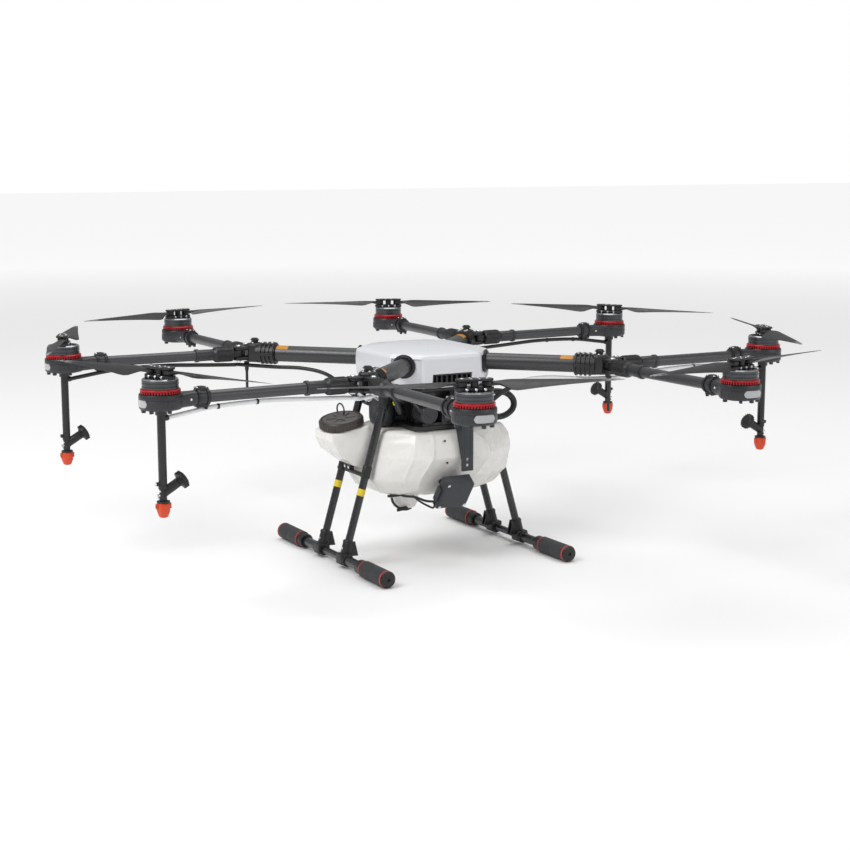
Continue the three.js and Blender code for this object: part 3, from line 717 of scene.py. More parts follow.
def bladeShape(hand):
    # an aerofoil with a nearly straight leading edge; hand mirrors it for rotors that turn the other way
    rings = []
    for along, lead, trail, half, pitch in bladeSpec["stations"]:
        chord, ring = lead - trail, []
        for i in range(20):
            t = (1 + math.cos(math.tau * i / 20)) / 2
            foil = 1.32 * math.sqrt(max(1 - t, 0)) * (0.35 + 1.25 * t)
            up = half * (foil if along > 14 else math.sqrt(max(1 - (2 * t - 1) ** 2, 0)))
            if i > 10:
                up *= -0.62 if along > 14 else -1
            if along > 14:
                up += 0.05 * chord * (1 - (2 * t - 1) ** 2)
            across = trail + chord * t
            ring.append((along, hand * (across * math.cos(pitch) - up * math.sin(pitch)),
                         across * math.sin(pitch) + up * math.cos(pitch)))
        rings.append(ring)
    boss = turnedShape([(3.2, -4.5), (8.6, -4.5), (9, -4.1), (9, 4.1), (8.6, 4.5), (3.2, 4.5), (3.2, -4.5)],
                       32)
    whole = together([loftShape(rings), boss])
    layer = whole.loops.layers.uv.verify()
    for face in whole.faces:
        for loop in face.loops:
            loop[layer].uv = (loop.vert.co.x / 245, loop.vert.co.y / 40)
    return whole


blades = {1: bladeShape(-1), 0: bladeShape(1)}
for arm in arms:
    number, middle = str(arm["number"]), shift(arm["centre"].x, arm["centre"].y)
    spin = middle @ turn(arm["rest"])
    shell = together([painted(copied(part), look) for look, part in enumerate(rotorShapes)])
    finished("rotorBell_" + number, moved(shell, spin), rotorLooks, "rotor_assembly_" + number,
             ["rotor_" + number])
    for letter, half in (("a", 0), ("b", 180)):
        pin = spin @ turn(half) @ shift(layout["bladePost"], 0, layout["bladeHeight"])
        finished("bladeSkin_" + number + letter, copied(blades[arm["number"] % 2], pin), [looks["blade"]],
                 "blade_" + number + letter, ["blade_" + number + letter], 50)
print("rotors and blades done")

# spray drops under four arms
dropSpec = {"branchRadius": 8.8, "knobRibs": 18, "hoseRadius": 4.2, "tieReach": (112, 190),
            "tieDrop": (-19.6, -17.0)}


def dropParts(length):
    local = shift(length, 0, -layout["boomHeight"])
    rod = turnedShape([(0, 262), (7.2, 262), (7.7, 263), (7.7, 398), (0, 398)], 32)
    collar = turnedShape([(0, 392), (10, 392), (10.6, 393), (10.6, 400.4), (0, 400.4)], 32)
    neck = turnedShape([(0, 236), (6.6, 236), (6.9, 240), (6.9, 256), (8.4, 258), (8.4, 264.4), (0, 264.4)],
                       28)
    flange = turnedShape([(0, 232.2), (11.6, 232.2), (12, 233), (12, 235.6), (8, 237), (0, 237)], 32)
    arm = rodShape((0, 0, 250), (-29, 0, 266.8), dropSpec["branchRadius"], 28, 1.0)
    knobAxis = shift(-29.6, 0, 267.1) @ Matrix.Rotation(math.radians(-60), 4, "Y")
    knob = turnedShape([(0, 0), (9, 0), (11, 2.4), (15.6, 4.4), (16.4, 7), (15.4, 12), (12.2, 14.6),
                        (5.5, 15.2), (0, 15.3)], 36)
    ribs = [moved(boxShape((13.4, -1, 3.4), (17, 1, 12.6), 0.5, 1), turn(360 * i / dropSpec["knobRibs"]))
            for i in range(dropSpec["knobRibs"])]
    knob = moved(together([knob] + ribs), knobAxis)
    stub = rodShape((-13.5, 0, 386.5), (0, 0, 386.5), 5.6, 20, 0.8)
    clip = boxShape((5.4, -3.6, 263.6), (13, 3.6, 270.4), 1.1)
    black = moved(together([rod, collar, neck, flange, arm, knob, stub, clip]), local)
    clamps = [moved(boltShape((0, 0, 0), 2.4, 2), shift(6.2, y, z) @ turn(90, "Y"))
              for y, z in ((-2.5, 241), (2.5, 254))]
    screw = moved(boltShape((0, 0, 0), 2.6, 2.2), shift(12.6, 0, 267) @ turn(90, "Y"))
    pin = rodShape((6, 0, 246), (11.6, 0, 246), 2.8, 16, 0.5)
    bright = moved(together(clamps + [screw, pin]), local)
    faces = [[(r * math.cos(math.tau * i / 8), r * math.sin(math.tau * i / 8), z) for i in range(8)]
             for r, z in ((5.6, 205.2), (8.6, 207), (12.4, 216.4), (12.8, 219), (12.8, 229.6), (11.6, 232.4))]
    ears = [moved(boxShape((10.5, -3.6, 221), (14.4, 3.6, 231.6), 1.2), turn(angle))
            for angle in (0, 90, 180, 270)]
    nozzle = moved(together([rounded(loftShape(faces), 0.7, 2, 20)] + ears), local)
    dot = moved(rodShape((13, 0, 226.4), (14.7, 0, 226.4), 2.7, 16, 0.3), local)
    # painted shade: a thin black disc on the nozzle's end stands in for the shade inside its opening
    openingShade = moved(rodShape((0, 0, 205), (0, 0, 206), 2.4, 16), local)
    return black, bright, nozzle, together([dot, openingShade])


# the hose runs from the drop, counted back from the arm's end, to the hinge, counted from its pin
dropRoute = [(-14, 0, -32), (-34, 0, -29), (-100, 0, -20), (-170, 0, -17)]
armRoute = [(160, 0, -17), (110, 0, -19.5), (64, 0, -22), (34, 0, -23.5)]
dropShapes = dropParts(arms[0]["length"])
for arm in (a for a in arms if a["number"] in layout["sprayed"]):
    number, body, length = str(arm["number"]), "arm_assembly_" + str(arm["number"]), arm["length"]
    shell = together([painted(copied(part), look) for look, part in enumerate(dropShapes)])
    finished("sprayDrop_" + number, moved(shell, arm["place"]),
             [looks["blackNylon"], looks["chrome"], looks["orangePlastic"], looks["blackHose"]], body,
             ["spray_drop_" + number])
    pale = arm["number"] in (2, 7)
    hose = tubeShape([(length + x, y, z) for x, y, z in dropRoute] + armRoute, dropSpec["hoseRadius"], 16)
    finished("armHose_" + number, moved(hose, arm["place"]), [looks["whiteHose" if pale else "blackHose"]],
             body)
    ties = [turnedShape([(4.3, length - r), (5.2, length - r), (5.2, length - r + 4), (4.3, length - r + 4),
                         (4.3, length - r)], 20, "X") for r in dropSpec["tieReach"]]
    for tie, drop in zip(ties, dropSpec["tieDrop"]):
        moved(tie, shift(0, 0, drop))
    finished("hoseTies_" + number, moved(together(ties), arm["place"]), [looks["blackNylon"]], body)
print("spray drops done")

# top cover: a white shell with corner faces for the booms and a grille in front
coverSpec = {
    # half length, half width, corner, height, whether the corners are sunk
    "levels": [(122, 114, 50, 372.5, 0), (124.6, 116.6, 51, 377, 0), (125.5, 117.5, 51.5, 379.4, 1),
               (128.4, 120.4, 53, 390, 1), (129.6, 121.6, 54, 404, 1), (129.9, 121.9, 54, 418, 1),
               (129.5, 121.5, 54, 428, 1), (129.3, 121.3, 54, 431.6, 1), (129, 121, 53.9, 434.4, 0),
               (128.2, 120.2, 53.6, 437.4, 0), (126.6, 118.6, 53, 439.8, 0), (123.6, 115.8, 52, 441.6, 0),
               (117, 110, 49.8, 443.6, 0), (108, 103, 46.6, 445.6, 0), (94, 93, 43, 447.9, 0),
               (76, 80, 38, 450.2, 0), (58, 64, 30, 451.9, 0), (38, 46, 20, 453, 0), (16, 22, 8, 453.4, 0)],
    "wall": 2.6, "grilleHalf": 47, "grilleLow": 375, "grilleHigh": 402, "panelDepth": 3.2, "panelEdge": 4,
}


def coverRing(x, y, cut, height, sunk):
    # an outline whose four cut corners can be sunk a little, to take the booms' collars
    depth, edge, ring = coverSpec["panelDepth"] * sunk, coverSpec["panelEdge"], []
    corners = [((x, y - cut), (x - cut, y)), ((-x + cut, y), (-x, y - cut)), ((-x, -y + cut), (-x + cut, -y)),
               ((x - cut, -y), (x, -y + cut))]
    for start, end in corners:
        start, end = Vector(start), Vector(end)
        way = (end - start).normalized()
        inward = Vector((-way.y, way.x)) * depth
        rim = min(edge, (end - start).length * 0.2)
        soften = min(5, cut * 0.15)
        for point, along in ((start, 1), (end, -1)):
            onSide = abs(abs(point.x) - x) < 0.01
            flat = Vector((0, math.copysign(1, point.y)) if onSide else (math.copysign(1, point.x), 0))
            first, last = point - flat * soften, point + way * along * soften
            bend = [(1 - t) ** 2 * first + 2 * t * (1 - t) * point + t * t * last
                    for t in (0, 0.25, 0.5, 0.75, 1)]
            steps = bend + [point + way * along * (soften + rim * 0.2),
                            point + way * along * (soften + rim * 0.6) + inward]
            ring += steps if along == 1 else steps[::-1]
    return [(p.x, p.y, height) for p in ring]


def coverShape():
    shell = loftShape([coverRing(*level) for level in coverSpec["levels"]], False)
    bmesh.ops.holes_fill(shell, edges=[e for e in shell.edges if e.is_boundary and e.verts[0].co.z > 450])
    bmesh.ops.recalc_face_normals(shell, faces=shell.faces)
    half, low, high = coverSpec["grilleHalf"], coverSpec["grilleLow"], coverSpec["grilleHigh"]
    for place, way in (((0, half, 0), (0, 1, 0)), ((0, -half, 0), (0, 1, 0)), ((0, 0, low), (0, 0, 1)),
                       ((0, 0, high), (0, 0, 1))):
        front = [f for f in shell.faces if f.calc_center_median().x > 110 and f.calc_center_median().z < 425]
        parts = set(front) | {e for f in front for e in f.edges} | {v for f in front for v in f.verts}
        bmesh.ops.bisect_plane(shell, geom=list(parts), plane_co=place, plane_no=way)
    opening = [f for f in shell.faces if f.calc_center_median().x > 110
               and abs(f.calc_center_median().y) < half and low < f.calc_center_median().z < high]
    bmesh.ops.delete(shell, geom=opening, context="FACES")
    bmesh.ops.solidify(shell, geom=shell.faces[:], thickness=coverSpec["wall"])
    bmesh.ops.recalc_face_normals(shell, faces=shell.faces)
    return shell


finished("coverShell", coverShape(), [looks["coverWhite"]], "airframe", ["top_cover"], 40)

collars = []
for index in range(4):
    collar = turnedShape([(17.9, 136), (22.5, 136), (22.5, 140.6), (21.6, 142.4), (19, 143), (17.9, 142.4),
                          (17.9, 136)], 56, "X")
    lip = turnedShape([(22, 138.4), (24.8, 138.4), (24.8, 139.6), (23.6, 140.4), (22, 140.4), (22, 138.4)],
                      56, "X")
    collars.append(moved(together([collar, lip]), shift(0, 0, layout["boomHeight"]) @ turn(45 + 90 * index)))
finished("boomCollars", together(collars), [looks["blackNylon"]], "airframe")

grilleFrame = [boxShape((117.4, -46.5, 375.3), (127, 46.5, 378.6), 0.6),
               boxShape((117.4, -46.5, 398.4), (127, 46.5, 401.5), 0.6),
               boxShape((117.4, -46.5, 375.3), (127, -42.8, 401.5), 0.6),
               boxShape((117.4, 42.8, 375.3), (127, 46.5, 401.5), 0.6)]
grilleFrame += [boxShape((118, -2.1 + y, 377), (126, 2.1 + y, 400), 1.0) for y in range(-36, 37, 12)]
grilleFrame += [moved(boxShape((-5, -3.4, -10.6), (0, 3.4, 10.6), 0.5),
                      shift(120.4, y, 388.4) @ turn(18)) for y in range(-30, 31, 12)]
# painted shade: a black sheet behind the slats stands in for the shade inside the cover
grilleFrame += [boxShape((112, -46, 376), (113.5, 46, 401), 0.3, 1)]
finished("grillePanel", together(grilleFrame), [looks["blackNylon"]], "airframe",
         ["vent_grille"])
print("cover done")

# tank: the blow-moulded bottle, its facets softened by a fine remesh and smoothing
tankSpec = {
    "voxel": 0.002, "passes": 6, "capLean": (10, 5), "bead": 2.3,
    # height, front, near, far, nose, left, right, shoulder
    "creases": [(150, 94, 60, 56, 88, 132, 138, 46), (178, 112, 68, 68, 98, 150, 176, 62),
                (226, 137, 52, 86, 116, 139, 186, 74), (256, 131, 47, 76, 110, 131, 180, 72),
                (275, 122, 43, 52, 104, 124, 166, 62)],
}


def creaseBeads():
    # moulded beads along the bottle's upright creases
    beads = []
    for way in (1, -1):
        for line in range(4):
            knots = []
            for height, front, near, far, nose, left, right, shoulder in tankSpec["creases"]:
                x, y = ((front, -near), (nose, -left + 52), (front, far), (nose, right - shoulder))[line]
                inward = Vector((x, y)).normalized() * 0.8
                knots.append((way * (x - inward.x), y - inward.y, height))
            beads.append(tubeShape(knots, tankSpec["bead"], 12, 6))
    return together(beads)


def tankSkin():
    shape = bmesh.new()
    shape.from_mesh(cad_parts["tank"].data)
    bmesh.ops.remove_doubles(shape, verts=shape.verts, dist=0.00002)
    beads = creaseBeads()
    bmesh.ops.scale(beads, vec=(0.001, 0.001, 0.001), verts=beads.verts)
    shape = together([shape, beads])
    mesh = bpy.data.meshes.new("tankRough")
    shape.to_mesh(mesh)
    shape.free()
    rough = bpy.data.objects.new("tankRough", mesh)
    bpy.context.scene.collection.objects.link(rough)
    remesh = rough.modifiers.new("remesh", "REMESH")
    remesh.mode, remesh.voxel_size = "VOXEL", tankSpec["voxel"]
    depth = bpy.context.evaluated_depsgraph_get()
    shape = bmesh.new()
    shape.from_mesh(rough.evaluated_get(depth).to_mesh())
    bpy.data.objects.remove(rough)
    for step in range(tankSpec["passes"]):
        bmesh.ops.smooth_vert(shape, verts=shape.verts, factor=0.5, use_axis_x=True, use_axis_y=True,
                              use_axis_z=True)
    bmesh.ops.scale(shape, vec=(1000, 1000, 1000), verts=shape.verts)
    return shape


finished("tankBottle", tankSkin(), [looks["tank"]], "airframe", ["tank"], 60)

spots = [rodShape((x, y, z), (x + 1.6, y, z), 2.4, 16, 0.4)
         for x, y, z in ((131, -20, 262), (134.6, -16, 216))]
# black strap and outlet under the sump, and the sensor's two leads along the tank's foot
strap = [tubeShape([(31, -92, 130), (31, -88, 120), (31, -80, 111), (31, -70, 106), (31, -56, 107)], 2.6, 12),
         moved(boxShape((-1.6, -13, -5), (1.6, 13, 1), 0.8), shift(31, -66, 105) @ turn(6, "X")),
         rodShape((5, -47, 95), (5, -47, 102), 12, 32, 1.2), boxShape((-2, -62, 96), (12, -32, 99), 1.2),
         boxShape((60, -118, 140), (68, -92, 145), 1.2)]
cable = tubeShape([(60, -100, 148), (74, -86, 142), (92, -69, 141), (106, -52, 134), (118, -38, 133)], 2.6,
                  12)
lead = tubeShape([(76, -66, 141), (84, -52, 128), (92, -38, 119), (106, -33, 117), (118, -36, 128)], 2.2, 12)
finished("sumpFittings", together(strap + [cable, lead] + spots), [looks["blackNylon"]], "airframe")

capSpec = {"ribs": 40}


def capParts():
    rim = turnedShape([(0, 0.3), (45, 0.3), (46, 1.4), (46, 15), (44.4, 17.4), (41, 17.9), (40, 16.4),
                       (0, 16.4)], 72)
    ribs = [moved(boxShape((44.6, -1.7, 1.6), (47.1, 1.7, 14.6), 0.7),
                  turn(360 * i / capSpec["ribs"])) for i in range(capSpec["ribs"])]
    top = [turnedShape([(0, 16), (38.5, 16), (38.5, 17), (36.5, 17.8), (31, 17.8), (30, 16.8), (0, 16.8)],
                       64)]
    top += [moved(boxShape((9, -2.6, 16.4), (31, 2.6, 18.4), 0.9), turn(60 * i)) for i in range(6)]
    top += [turnedShape([(0, 16.4), (10.4, 16.4), (10.4, 18), (8.6, 18.7), (0, 18.7)], 40),
            boxShape((-27, -4, 16.6), (27, 4, 19.1), 1.4)]
    return together([painted(together([rim] + ribs), 0), painted(together(top), 1)])


capPlace = shift(0, -192.6, 289.8) @ turn(tankSpec["capLean"][0], "X") @ turn(tankSpec["capLean"][1], "Y")
finished("capLid", moved(capParts(), capPlace), [looks["capBrown"], looks["capTop"]], "filler_cap",
         ["tank_cap"])
print("tank and cap done")

# pump housing, front pump, boxes and looms under the deck
pumpSpec = {"outline": [(26, 14, 8, 284.3), (31, 18, 11, 290), (33, 20.4, 12, 297), (33, 20.8, 12, 328),
                        (31, 19, 11, 334), (27, 17, 10, 337.6)]}
pumpShell = moved(loftShape([cornered(x, y, cut, z, cut * 0.35, 4) for x, y, cut, z in pumpSpec["outline"]]),
                  shift(0, -98))
rounded(pumpShell, 0.6, 2, 50)
pumpBits = [boxShape((-16, -90, 300.4), (16, -56.6, 325.6), 2),
            boxShape((28, -108, 304), (33.9, -88, 326), 1.6)]
pumpBits += [boltShape((x, -98 + y, 336.8), 2.6, 1.6) for x in (-18, 18) for y in (-9, 9)]
finished("pumpHousing", together([pumpShell] + pumpBits), [looks["greyNylon"]], "airframe",
         ["pump_unit"])

deckSpec = {"deck": (112, 108, 46), "low": 364, "high": 370, "box": (82, 56, 12), "tray": (112, 76, 14)}


def centreParts():
    deck = rounded(loftShape([cornered(*deckSpec["deck"], z) for z in (deckSpec["low"], deckSpec["high"])]),
                   1.0, 2, 50)
    box = rounded(loftShape([cornered(*deckSpec["box"], z) for z in (291, 365)]), 2.0, 3, 40)
    tray = rounded(loftShape([cornered(*deckSpec["tray"], z) for z in (283.6, 292)]), 1.4, 2, 40)
    skirt = [boxShape((x - 1.5, -60, 291), (x + 1.5, 60, 298), 0.8) for x in (-108, 108)]
    ribs = [boxShape((83 * s - 2, y - 2, 294), (83 * s + 2, y + 2, 362), 0.8)
            for s in (-1, 1) for y in (-40, -20, 40)]
    ribs += [boxShape((x - 2, 57 * s - 2, 294), (x + 2, 57 * s + 2, 362), 0.8)
             for s in (-1, 1) for x in (-60, -36, 36, 60)]
    core = boxShape((-44, -44, 369), (44, 44, 442), 3)
    sockets = [moved(turnedShape([(17.9, 60), (22, 60), (22, 100), (21, 101), (21, 104), (22, 105), (22, 106),
                                  (17.9, 106), (17.9, 60)], 40, "X"),
                     shift(0, 0, layout["boomHeight"]) @ turn(45 + 90 * q)) for q in range(4)]
    feet = [moved(boxShape((58, -14, 369), (104, 14, 402), 1.5), turn(45 + 90 * q)) for q in range(4)]
    bolts = [moved(boltShape((96, side * 46, 370), 3, 2), turn(45 + 90 * q))
             for q in range(4) for side in (-1, 1)]
    return together([deck, box, tray, core] + skirt + ribs + sockets + feet), together(bolts)


deckBlack, deckBright = centreParts()
finished("deckFrame", together([painted(deckBlack, 0), painted(deckBright, 1)]),
         [looks["blackNylon"], looks["chrome"]], "airframe", ["centre_frame"])

grooves = [p for a in range(82, 116, 5)
           for p in ((20.8, a), (20.8, a + 2.6), (19.4, a + 3), (19.4, a + 4.6))]
pumpBarrel = turnedShape([(0, 78), (19, 78), (20.6, 80)] + grooves
                         + [(20, 117), (18, 120.4), (12, 121), (0, 121)], 40, "X")
moved(pumpBarrel, shift(0, -48, 318))
frontBox = boxShape((80, -14, 290.4), (110, 24, 339.6), 2.4, 3)
smallBoxes = [boxShape((108, -8, 298), (111.6, 18, 332), 1.4), boxShape((84, 30, 300), (106, 54, 330), 2),
              boxShape((60, -70, 340), (100, -24, 362), 2)]
looms = [tubeShape([(78, -30, 350), (98, -34, 346), (112, -22, 334), (108, -2, 344), (92, 12, 356)], 4.4, 14,
                   8, 0.12),
         tubeShape([(74, -66, 344), (98, -70, 336), (116, -62, 322), (114, -44, 300), (98, -34, 293.5)], 5.2,
                   14, 10, 0.14),
         tubeShape([(90, -26, 340), (112, -20, 326), (118, -6, 310), (110, 4, 296)], 3.6, 12, 8, 0.1),
         tubeShape([(76, 60, 336), (104, 76, 330), (110, 96, 318), (90, 108, 304)], 4.6, 14, 10, 0.14),
         tubeShape([(-70, 40, 350), (-100, 60, 340), (-104, 84, 320), (-80, 70, 300)], 5.0, 14, 10, 0.14)]
finished("underDeckLooms", together([pumpBarrel, frontBox] + smallBoxes + looms), [looks["greyNylon"]],
         "airframe")
loop = tubeShape([(64, 104, 344), (74, 134, 348), (80, 162, 343), (80, 180, 326), (76, 180, 306),
                  (72, 160, 292.5), (68, 130, 292), (66, 108, 300)], 7, 18, 14, 0.09)
finished("cableLoop", loop, [looks["blackHose"]], "airframe")
plugs = [boxShape((86, -117, 338), (93, -108, 357), 1.2), boxShape((85, -118, 342), (94, -107, 346), 1)]
tails = [tubeShape([(66, -84, 362), (78, -98, 369), (87, -112, 366), (89.5, -112.5, 356)], 2.2, 12),
         tubeShape([(89.5, -112.5, 340), (90, -112, 332), (84, -104, 324), (76, -92, 318)], 2.2, 12)]
finished("plugTails", together(tails), [looks["blackHose"]], "airframe")
finished("yellowPlugs", together([plugs[1], plugs[0]]), [looks["yellowBand"]], "airframe")
paleHoses = [tubeShape([(30, -112, 338), (30, -124, 345), (30, -136, 353), (30, -143, 357), (26, -146, 350),
                        (20, -144, 342)], 3.6, 14),
             tubeShape([(-14, -112, 334), (-18, -130, 342), (-24, -142, 350)], 3.2, 14)]
finished("pumpHoses", together(paleHoses), [looks["whiteHose"]], "airframe")
handle = tubeShape([(-38, 12, 15), (-41, 14, 27), (-34, 16, 36), (-20, 16, 37), (-9, 14, 29), (-11, 12, 15)],
                   1.7, 10)
finished("capHandle", moved(handle, capPlace), [looks["blackHose"]], "filler_cap")
print("deck done")

# forward sensor and the bracket in front of the tank
radarSpec = {"tilt": 0.62, "wide": 36, "tall": 38.5, "thick": 11}
wide, tall, thick = radarSpec["wide"], radarSpec["tall"], radarSpec["thick"]
radarFace = [(-wide, -tall), (wide, -tall), (wide, 26.5), (27, tall), (-wide, tall)]
radarRim = [(-wide + 3, -tall + 3), (wide - 3, -tall + 3), (wide - 3, 25.5), (26, tall - 3),
            (-wide + 3, tall - 3)]
radarShell = loftShape([[(x, y, z) for y, z in outline]
                        for x, outline in ((-thick, radarFace), (7, radarFace), (thick, radarRim))])
rounded(radarShell, 1.2, 3, 25)
radarPlug = [boxShape((-9, -41.8, -22), (4, -35, 16), 1.4), boxShape((-7, -41.9, -18), (2, -38, -8), 1),
             boxShape((-7, -41.9, 2), (2, -38, 12), 1)]
radarFins = [boxShape((-13, y - 1, -30), (-10, y + 1, 30), 0.5) for y in (-28, -20, -12, 12, 20, 28)]
radarFeet = [rodShape((-30.8, y, 4), (-10, y, 4), 6, 20, 0.6) for y in (-20, 20)]
radarDark = together([radarShell] + radarPlug + radarFins + radarFeet)
radarBright = together([moved(boltShape((0, 0, 0), 3.4, 1.4), shift(thick - 0.6, y, z) @ turn(90, "Y"))
                        for y, z in ((-28, 31), (-30, -32), (30, -32))])
radarPlace = shift(138, 0, 154) @ Matrix.Rotation(radarSpec["tilt"], 4, "Y")
finished("sensorCase", moved(together([painted(radarDark, 0), painted(radarBright, 1)]), radarPlace),
         [looks["radarGrey"], looks["chrome"]], "airframe", ["radar"])


def bracketShape():
    shape = bmesh.new()
    shape.from_mesh(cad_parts["front_bracket"].data)
    bmesh.ops.scale(shape, vec=(1000, 1000, 1000), verts=shape.verts)
    bmesh.ops.remove_doubles(shape, verts=shape.verts, dist=0.02)
    bmesh.ops.dissolve_limit(shape, angle_limit=math.radians(1), verts=shape.verts, edges=shape.edges)
    rounded(shape, 0.5, 2, 60)
    ribs = [boxShape((149.2, y - 0.8, 232), (150.1, y + 0.8, 322), 0.3, 1) for y in (18, 32)]
    return together([shape] + ribs)


finished("bracketPlate", bracketShape(), [looks["radarGrey"]], "airframe", ["front_bracket"])
print("sensor and bracket done")

# landing gear
gearSpec = {"legRadius": 8.1, "bandRadius": 8.35, "bandLow": 148, "bandHigh": 162}


def legSide(height):
    return layout["skidSide"] - layout["legSplay"] * (height - layout["gripRadius"])


def gearShapes(side):
    foam, black, red, carbon, yellow, bright = [], [], [], [], [], []
    lift = shift(0, side * layout["skidSide"], layout["gripRadius"])
    axle = Vector((0, side * layout["skidSide"], layout["gripRadius"]))
    for end in (0, 180):
        spot = lift @ turn(end)
        foam.append(moved(turnedShape([(0, 151), (15.8, 151), (17.2, 153), (17.45, 158), (17.45, 196),
                                       (17.0, 198), (17.45, 200), (17.45, 238), (17.2, 242),
                                       (0, 242)], 48, "X"), spot))
        black.append(moved(turnedShape([(0, 241), (17.3, 241), (17.3, 245), (15.6, 248.8), (13, 249.8),
                                        (3.6, 249.8), (3.2, 247), (0, 247)], 48, "X"), spot))
        black.append(moved(turnedShape([(0, 128), (14.6, 128), (15.4, 129.5), (15.4, 146), (16.4, 147),
                                        (16.4, 151), (0, 151)], 44, "X"), spot))
        black.append(moved(turnedShape([(0, 40), (12.4, 40), (13, 41.4), (13, 72), (12.4, 73.4), (10, 74),
                                        (0, 74)], 40, "X"), spot))
        carbon.append(wrapped(moved(turnedShape([(0, 72), (10, 72), (10, 129), (0, 129)], 36, "X"), spot),
                              axle, axle + Vector((1, 0, 0))))
        red += [moved(turnedShape([(14, a), (17.5, a + 0.3), (17.5, a + w - 0.3), (14, a + w), (14, a)], 48,
                                  "X"), spot) for a, w in ((149.4, 3.4), (240.6, 5))]
    carbon.append(wrapped(moved(turnedShape([(0, -42), (7.5, -42), (7.5, 42), (0, 42)], 32, "X"), lift),
                          axle, axle + Vector((1, 0, 0))))
    for x in (-layout["legPlace"], layout["legPlace"]):
        def at(height):
            return Vector((x, side * legSide(height), height))
        carbon.append(wrapped(rodShape(at(20), at(357), gearSpec["legRadius"], 32), at(0), at(300)))
        black.append(rodShape(at(24), at(56), 11.4, 28, 1.2))
        black.append(rodShape(at(50), at(54), 12.2, 28, 0.8))
        base = side * layout["skidSide"]
        black.append(boxShape((x - 13.4, base - 13.6, 8), (x + 13.4, base + 13.6, 31), 3, 3))
        low, high = legSide(24), legSide(54)
        for across in (-6, 6):
            black.append(loftShape([[(x + across + edge, side * y, z)
                                     for y, z in ((low - 6, 24), (low - 27, 23), (high - 11, 55))]
                                    for edge in (-1.3, 1.3)]))
        top = side * legSide(352)
        black.append(rodShape(at(328), at(352), 11.6, 28, 1.2))
        black.append(boxShape((x - 10, min(top - 12, top + 12), 345),
                              (x + 10, max(top - 12, top + 12), 363.4), 2))
        bright.append(moved(boltShape((0, 0, 0), 2.8, 1.8),
                            Matrix.Translation(at(41) + Vector((0, side * 10.6, 0))) @ turn(-90 * side, "X")))
        if side < 0:
            black += [rodShape(at(184), at(209), 9.6, 28, 0.8), rodShape(at(187), at(190), 10.4, 28, 0.5),
                      rodShape(at(203), at(206), 10.4, 28, 0.5)]
            yellow.append(rodShape(at(gearSpec["bandLow"]), at(gearSpec["bandHigh"]), gearSpec["bandRadius"],
                                   32, 0.1))
    if side < 0:
        y = side * legSide(189)
        black.append(rodShape((-46, y, 189), (46, y, 189), 4.6, 24, 0.4))
        for x in (-34, -17):
            black.append(moved(turnedShape([(3.4, -5), (8, -5), (8, 5), (3.4, 5), (3.4, -5)], 28),
                               shift(x, y + 1.2, 196) @ turn(90, "X")))
            bright.append(moved(turnedShape([(0, -4), (3.3, -4), (3.3, 5.4), (2, 6), (0, 6)], 20),
                                shift(x, y + 1.2, 196) @ turn(90, "X")))
    return [foam, black, red, carbon, yellow, bright]


for side, label in ((1, "left"), (-1, "right")):
    groups = gearShapes(side)
    legs = together(groups[3])
    shell = together([painted(together(group), number)
                      for number, group in enumerate(groups[:3] + groups[4:]) if group])
    finished("gearTubes_" + label, legs, [looks["legCarbon"]], "airframe",
             ["landing_gear_" + label])
    finished("gearFittings_" + label, shell,
             [looks[name] for name in ("foamGrip", "blackNylon", "redRubber", "yellowBand", "chrome")],
             "airframe")
print("landing gear done")

# feed hoses under the booms, and the two aerials
feedRoute = [(276, 284, 391), (262, 262, 389.5), (236, 236, 388.5), (190, 192, 388), (150, 156, 378),
             (118, 128, 352), (98, 108, 330), (70, 92, 318), (60.5, 80, 316)]
for sideX, sideY, label in ((1, 1, "front_left"), (-1, 1, "rear_left"), (-1, -1, "rear_right"),
                            (1, -1, "front_right")):
    pale = label.startswith("front")
    hose = tubeShape([(x * sideX, y * sideY, z) for x, y, z in feedRoute], dropSpec["hoseRadius"], 16, 8)
    finished("feedHoseSkin_" + label, hose, [looks["whiteHose" if pale else "blackHose"]], "airframe",
             ["feed_hose_" + label], 60)
for side in (1, -1):
    sleeve = tubeShape([(x, y * side, z) for x, y, z in feedRoute[4:]], 5.2, 16, 8)
    finished("hoseSleeve_" + ("left" if side == 1 else "right"), sleeve, [looks["blackHose"]], "airframe")
for side, label in ((1, "front_left"), (-1, "rear_right")):
    at = side * (layout["yokeRadius"] / math.sqrt(2) + 8)
    rod = turnedShape([(0, 322), (2.2, 322.4), (3.1, 324), (3.1, 376), (4.4, 382), (4.4, 392), (5.9, 393),
                       (5.9, 399), (0, 399)], 24)
    finished("aerialRod_" + label, moved(rod, shift(at, at)), [looks["blackHose"]], "airframe",
             ["aerial_" + label])
bridgeLook = {2: "white", 3: "black", 6: "black", 7: "white"}
for arm in (a for a in arms if a["number"] in layout["sprayed"]):
    # a short flexible stretch under the hinge joins the boom's hose to the arm's
    number, quadrant = arm["number"], (arm["number"] - 1) // 2
    sideX, sideY = ((1, 1), (-1, 1), (-1, -1), (1, -1))[quadrant]
    start, before = (Vector((x * sideX, y * sideY, z)) for x, y, z in feedRoute[:2])
    end, after = (arm["place"] @ Vector(point) for point in (armRoute[-1], armRoute[-2]))
    pull = (end - start).length * 0.42
    knots = [start - (start - before).normalized() * 1.5, start + (start - before).normalized() * pull,
             end - (after - end).normalized() * pull, end + (after - end).normalized() * 1.5]
    bridge = tubeShape(knots, 4.1, 16, 10)
    colour = bridgeLook[number]
    piece = finished("hoseBridge_" + str(number), bridge, [looks[colour + "Hose"]], None,
                     (), 60)
    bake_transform(piece)
print("hoses and aerials done")

# studio
studioSpec = {"floor": 0.92, "surround": 0.42, "key": 110, "fill": 34, "top": 85, "glowFrom": 1.0,
              "glowTo": 9.0, "glow": 0.54}


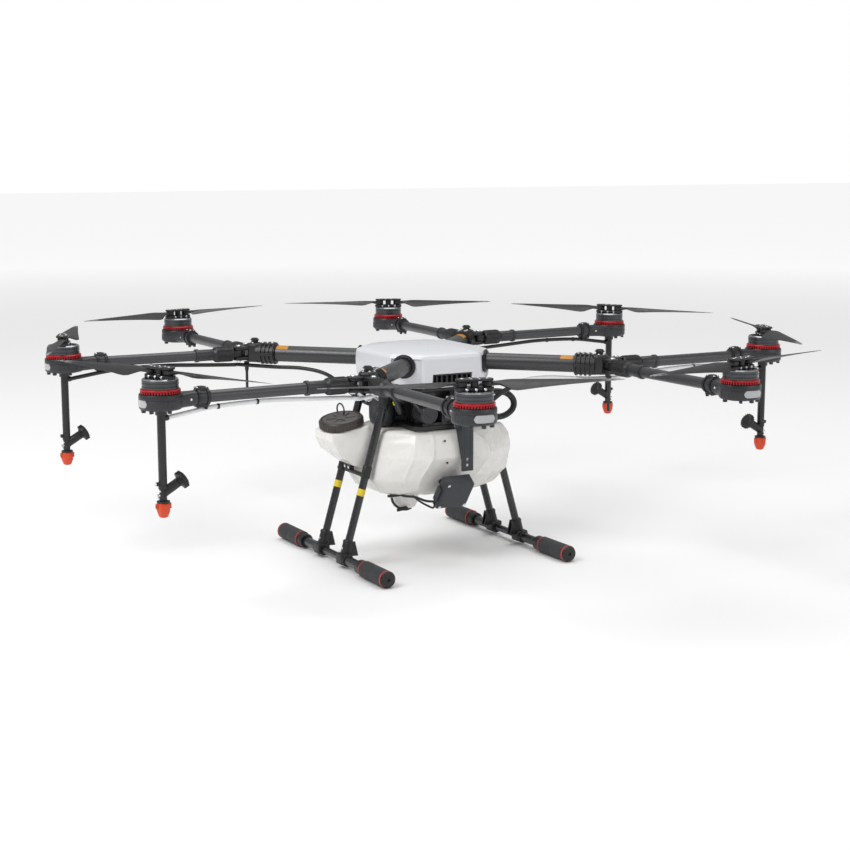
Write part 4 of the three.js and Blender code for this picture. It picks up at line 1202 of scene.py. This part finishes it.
def studioFloor():
    sheet = bmesh.new()
    bmesh.ops.create_grid(sheet, x_segments=1, y_segments=1, size=30)
    bmesh.ops.translate(sheet, vec=(0, 0, -0.0005), verts=sheet.verts)
    mesh = bpy.data.meshes.new("studioFloor")
    sheet.to_mesh(mesh)
    sheet.free()
    floor = bpy.data.objects.new("studioFloor", mesh)
    bpy.context.scene.collection.objects.link(floor)
    paper, tree, shader = startLook("studioPaper", 0.0, {
        "Roughness": 0.9, "Base Color": (studioSpec["floor"],) * 3 + (1,), "Specular IOR Level": 0.1})
    # the paper brightens into the distance, so that no horizon shows
    place = tree.nodes.new("ShaderNodeTexCoord")
    reach = tree.nodes.new("ShaderNodeVectorMath")
    reach.operation = "LENGTH"
    tree.links.new(place.outputs["Object"], reach.inputs[0])
    glow = added(tree, "MapRange", From_Min=studioSpec["glowFrom"], From_Max=studioSpec["glowTo"],
                 To_Max=studioSpec["glow"])
    tree.links.new(reach.outputs["Value"], glow.inputs["Value"])
    shader.inputs["Emission Color"].default_value = (1, 1, 1, 1)
    tree.links.new(glow.outputs[0], shader.inputs["Emission Strength"])
    mesh.materials.append(paper)


def areaLamp(name, place, aim, size, power):
    lamp = bpy.data.lights.new(name, "AREA")
    lamp.shape, lamp.size, lamp.energy = "SQUARE", size, power
    holder = bpy.data.objects.new(name, lamp)
    bpy.context.scene.collection.objects.link(holder)
    holder.location = place
    holder.rotation_euler = (Vector(place) - Vector(aim)).to_track_quat("Z", "Y").to_euler()


studioFloor()
areaLamp("keyLamp", (0.6, -3.2, 3.4), (0, 0, 0.3), 2.2, studioSpec["key"])
areaLamp("fillLamp", (3.8, 2.0, 2.0), (0, 0, 0.3), 2.6, studioSpec["fill"])
areaLamp("topLamp", (-0.6, 0.6, 4.4), (0, 0, 0.3), 3.4, studioSpec["top"])
world = bpy.data.worlds.new("paleStudio")
bpy.context.scene.world = world
world.use_nodes = True
backdrop = next(n for n in world.node_tree.nodes if n.type == "BACKGROUND")
backdrop.inputs["Color"].default_value = (1, 1, 1, 1)
rays = world.node_tree.nodes.new("ShaderNodeLightPath")
level = added(world.node_tree, "MapRange", To_Min=studioSpec["surround"], To_Max=1.0)
world.node_tree.links.new(rays.outputs["Is Camera Ray"], level.inputs["Value"])
world.node_tree.links.new(level.outputs[0], backdrop.inputs["Strength"])
bpy.context.scene.view_settings.view_transform = "Standard"

studioLens = bpy.data.cameras.new("studioCamera")
studioLens.lens, studioLens.sensor_width = 69.19, 36
camera = bpy.data.objects.new("studioCamera", studioLens)
bpy.context.scene.collection.objects.link(camera)
camera.location = (3.01985, -1.68787, 0.85639)
camera.rotation_euler = (math.radians(80.456), 0, math.radians(60.70))
bpy.context.scene.camera = camera
print("studio done")
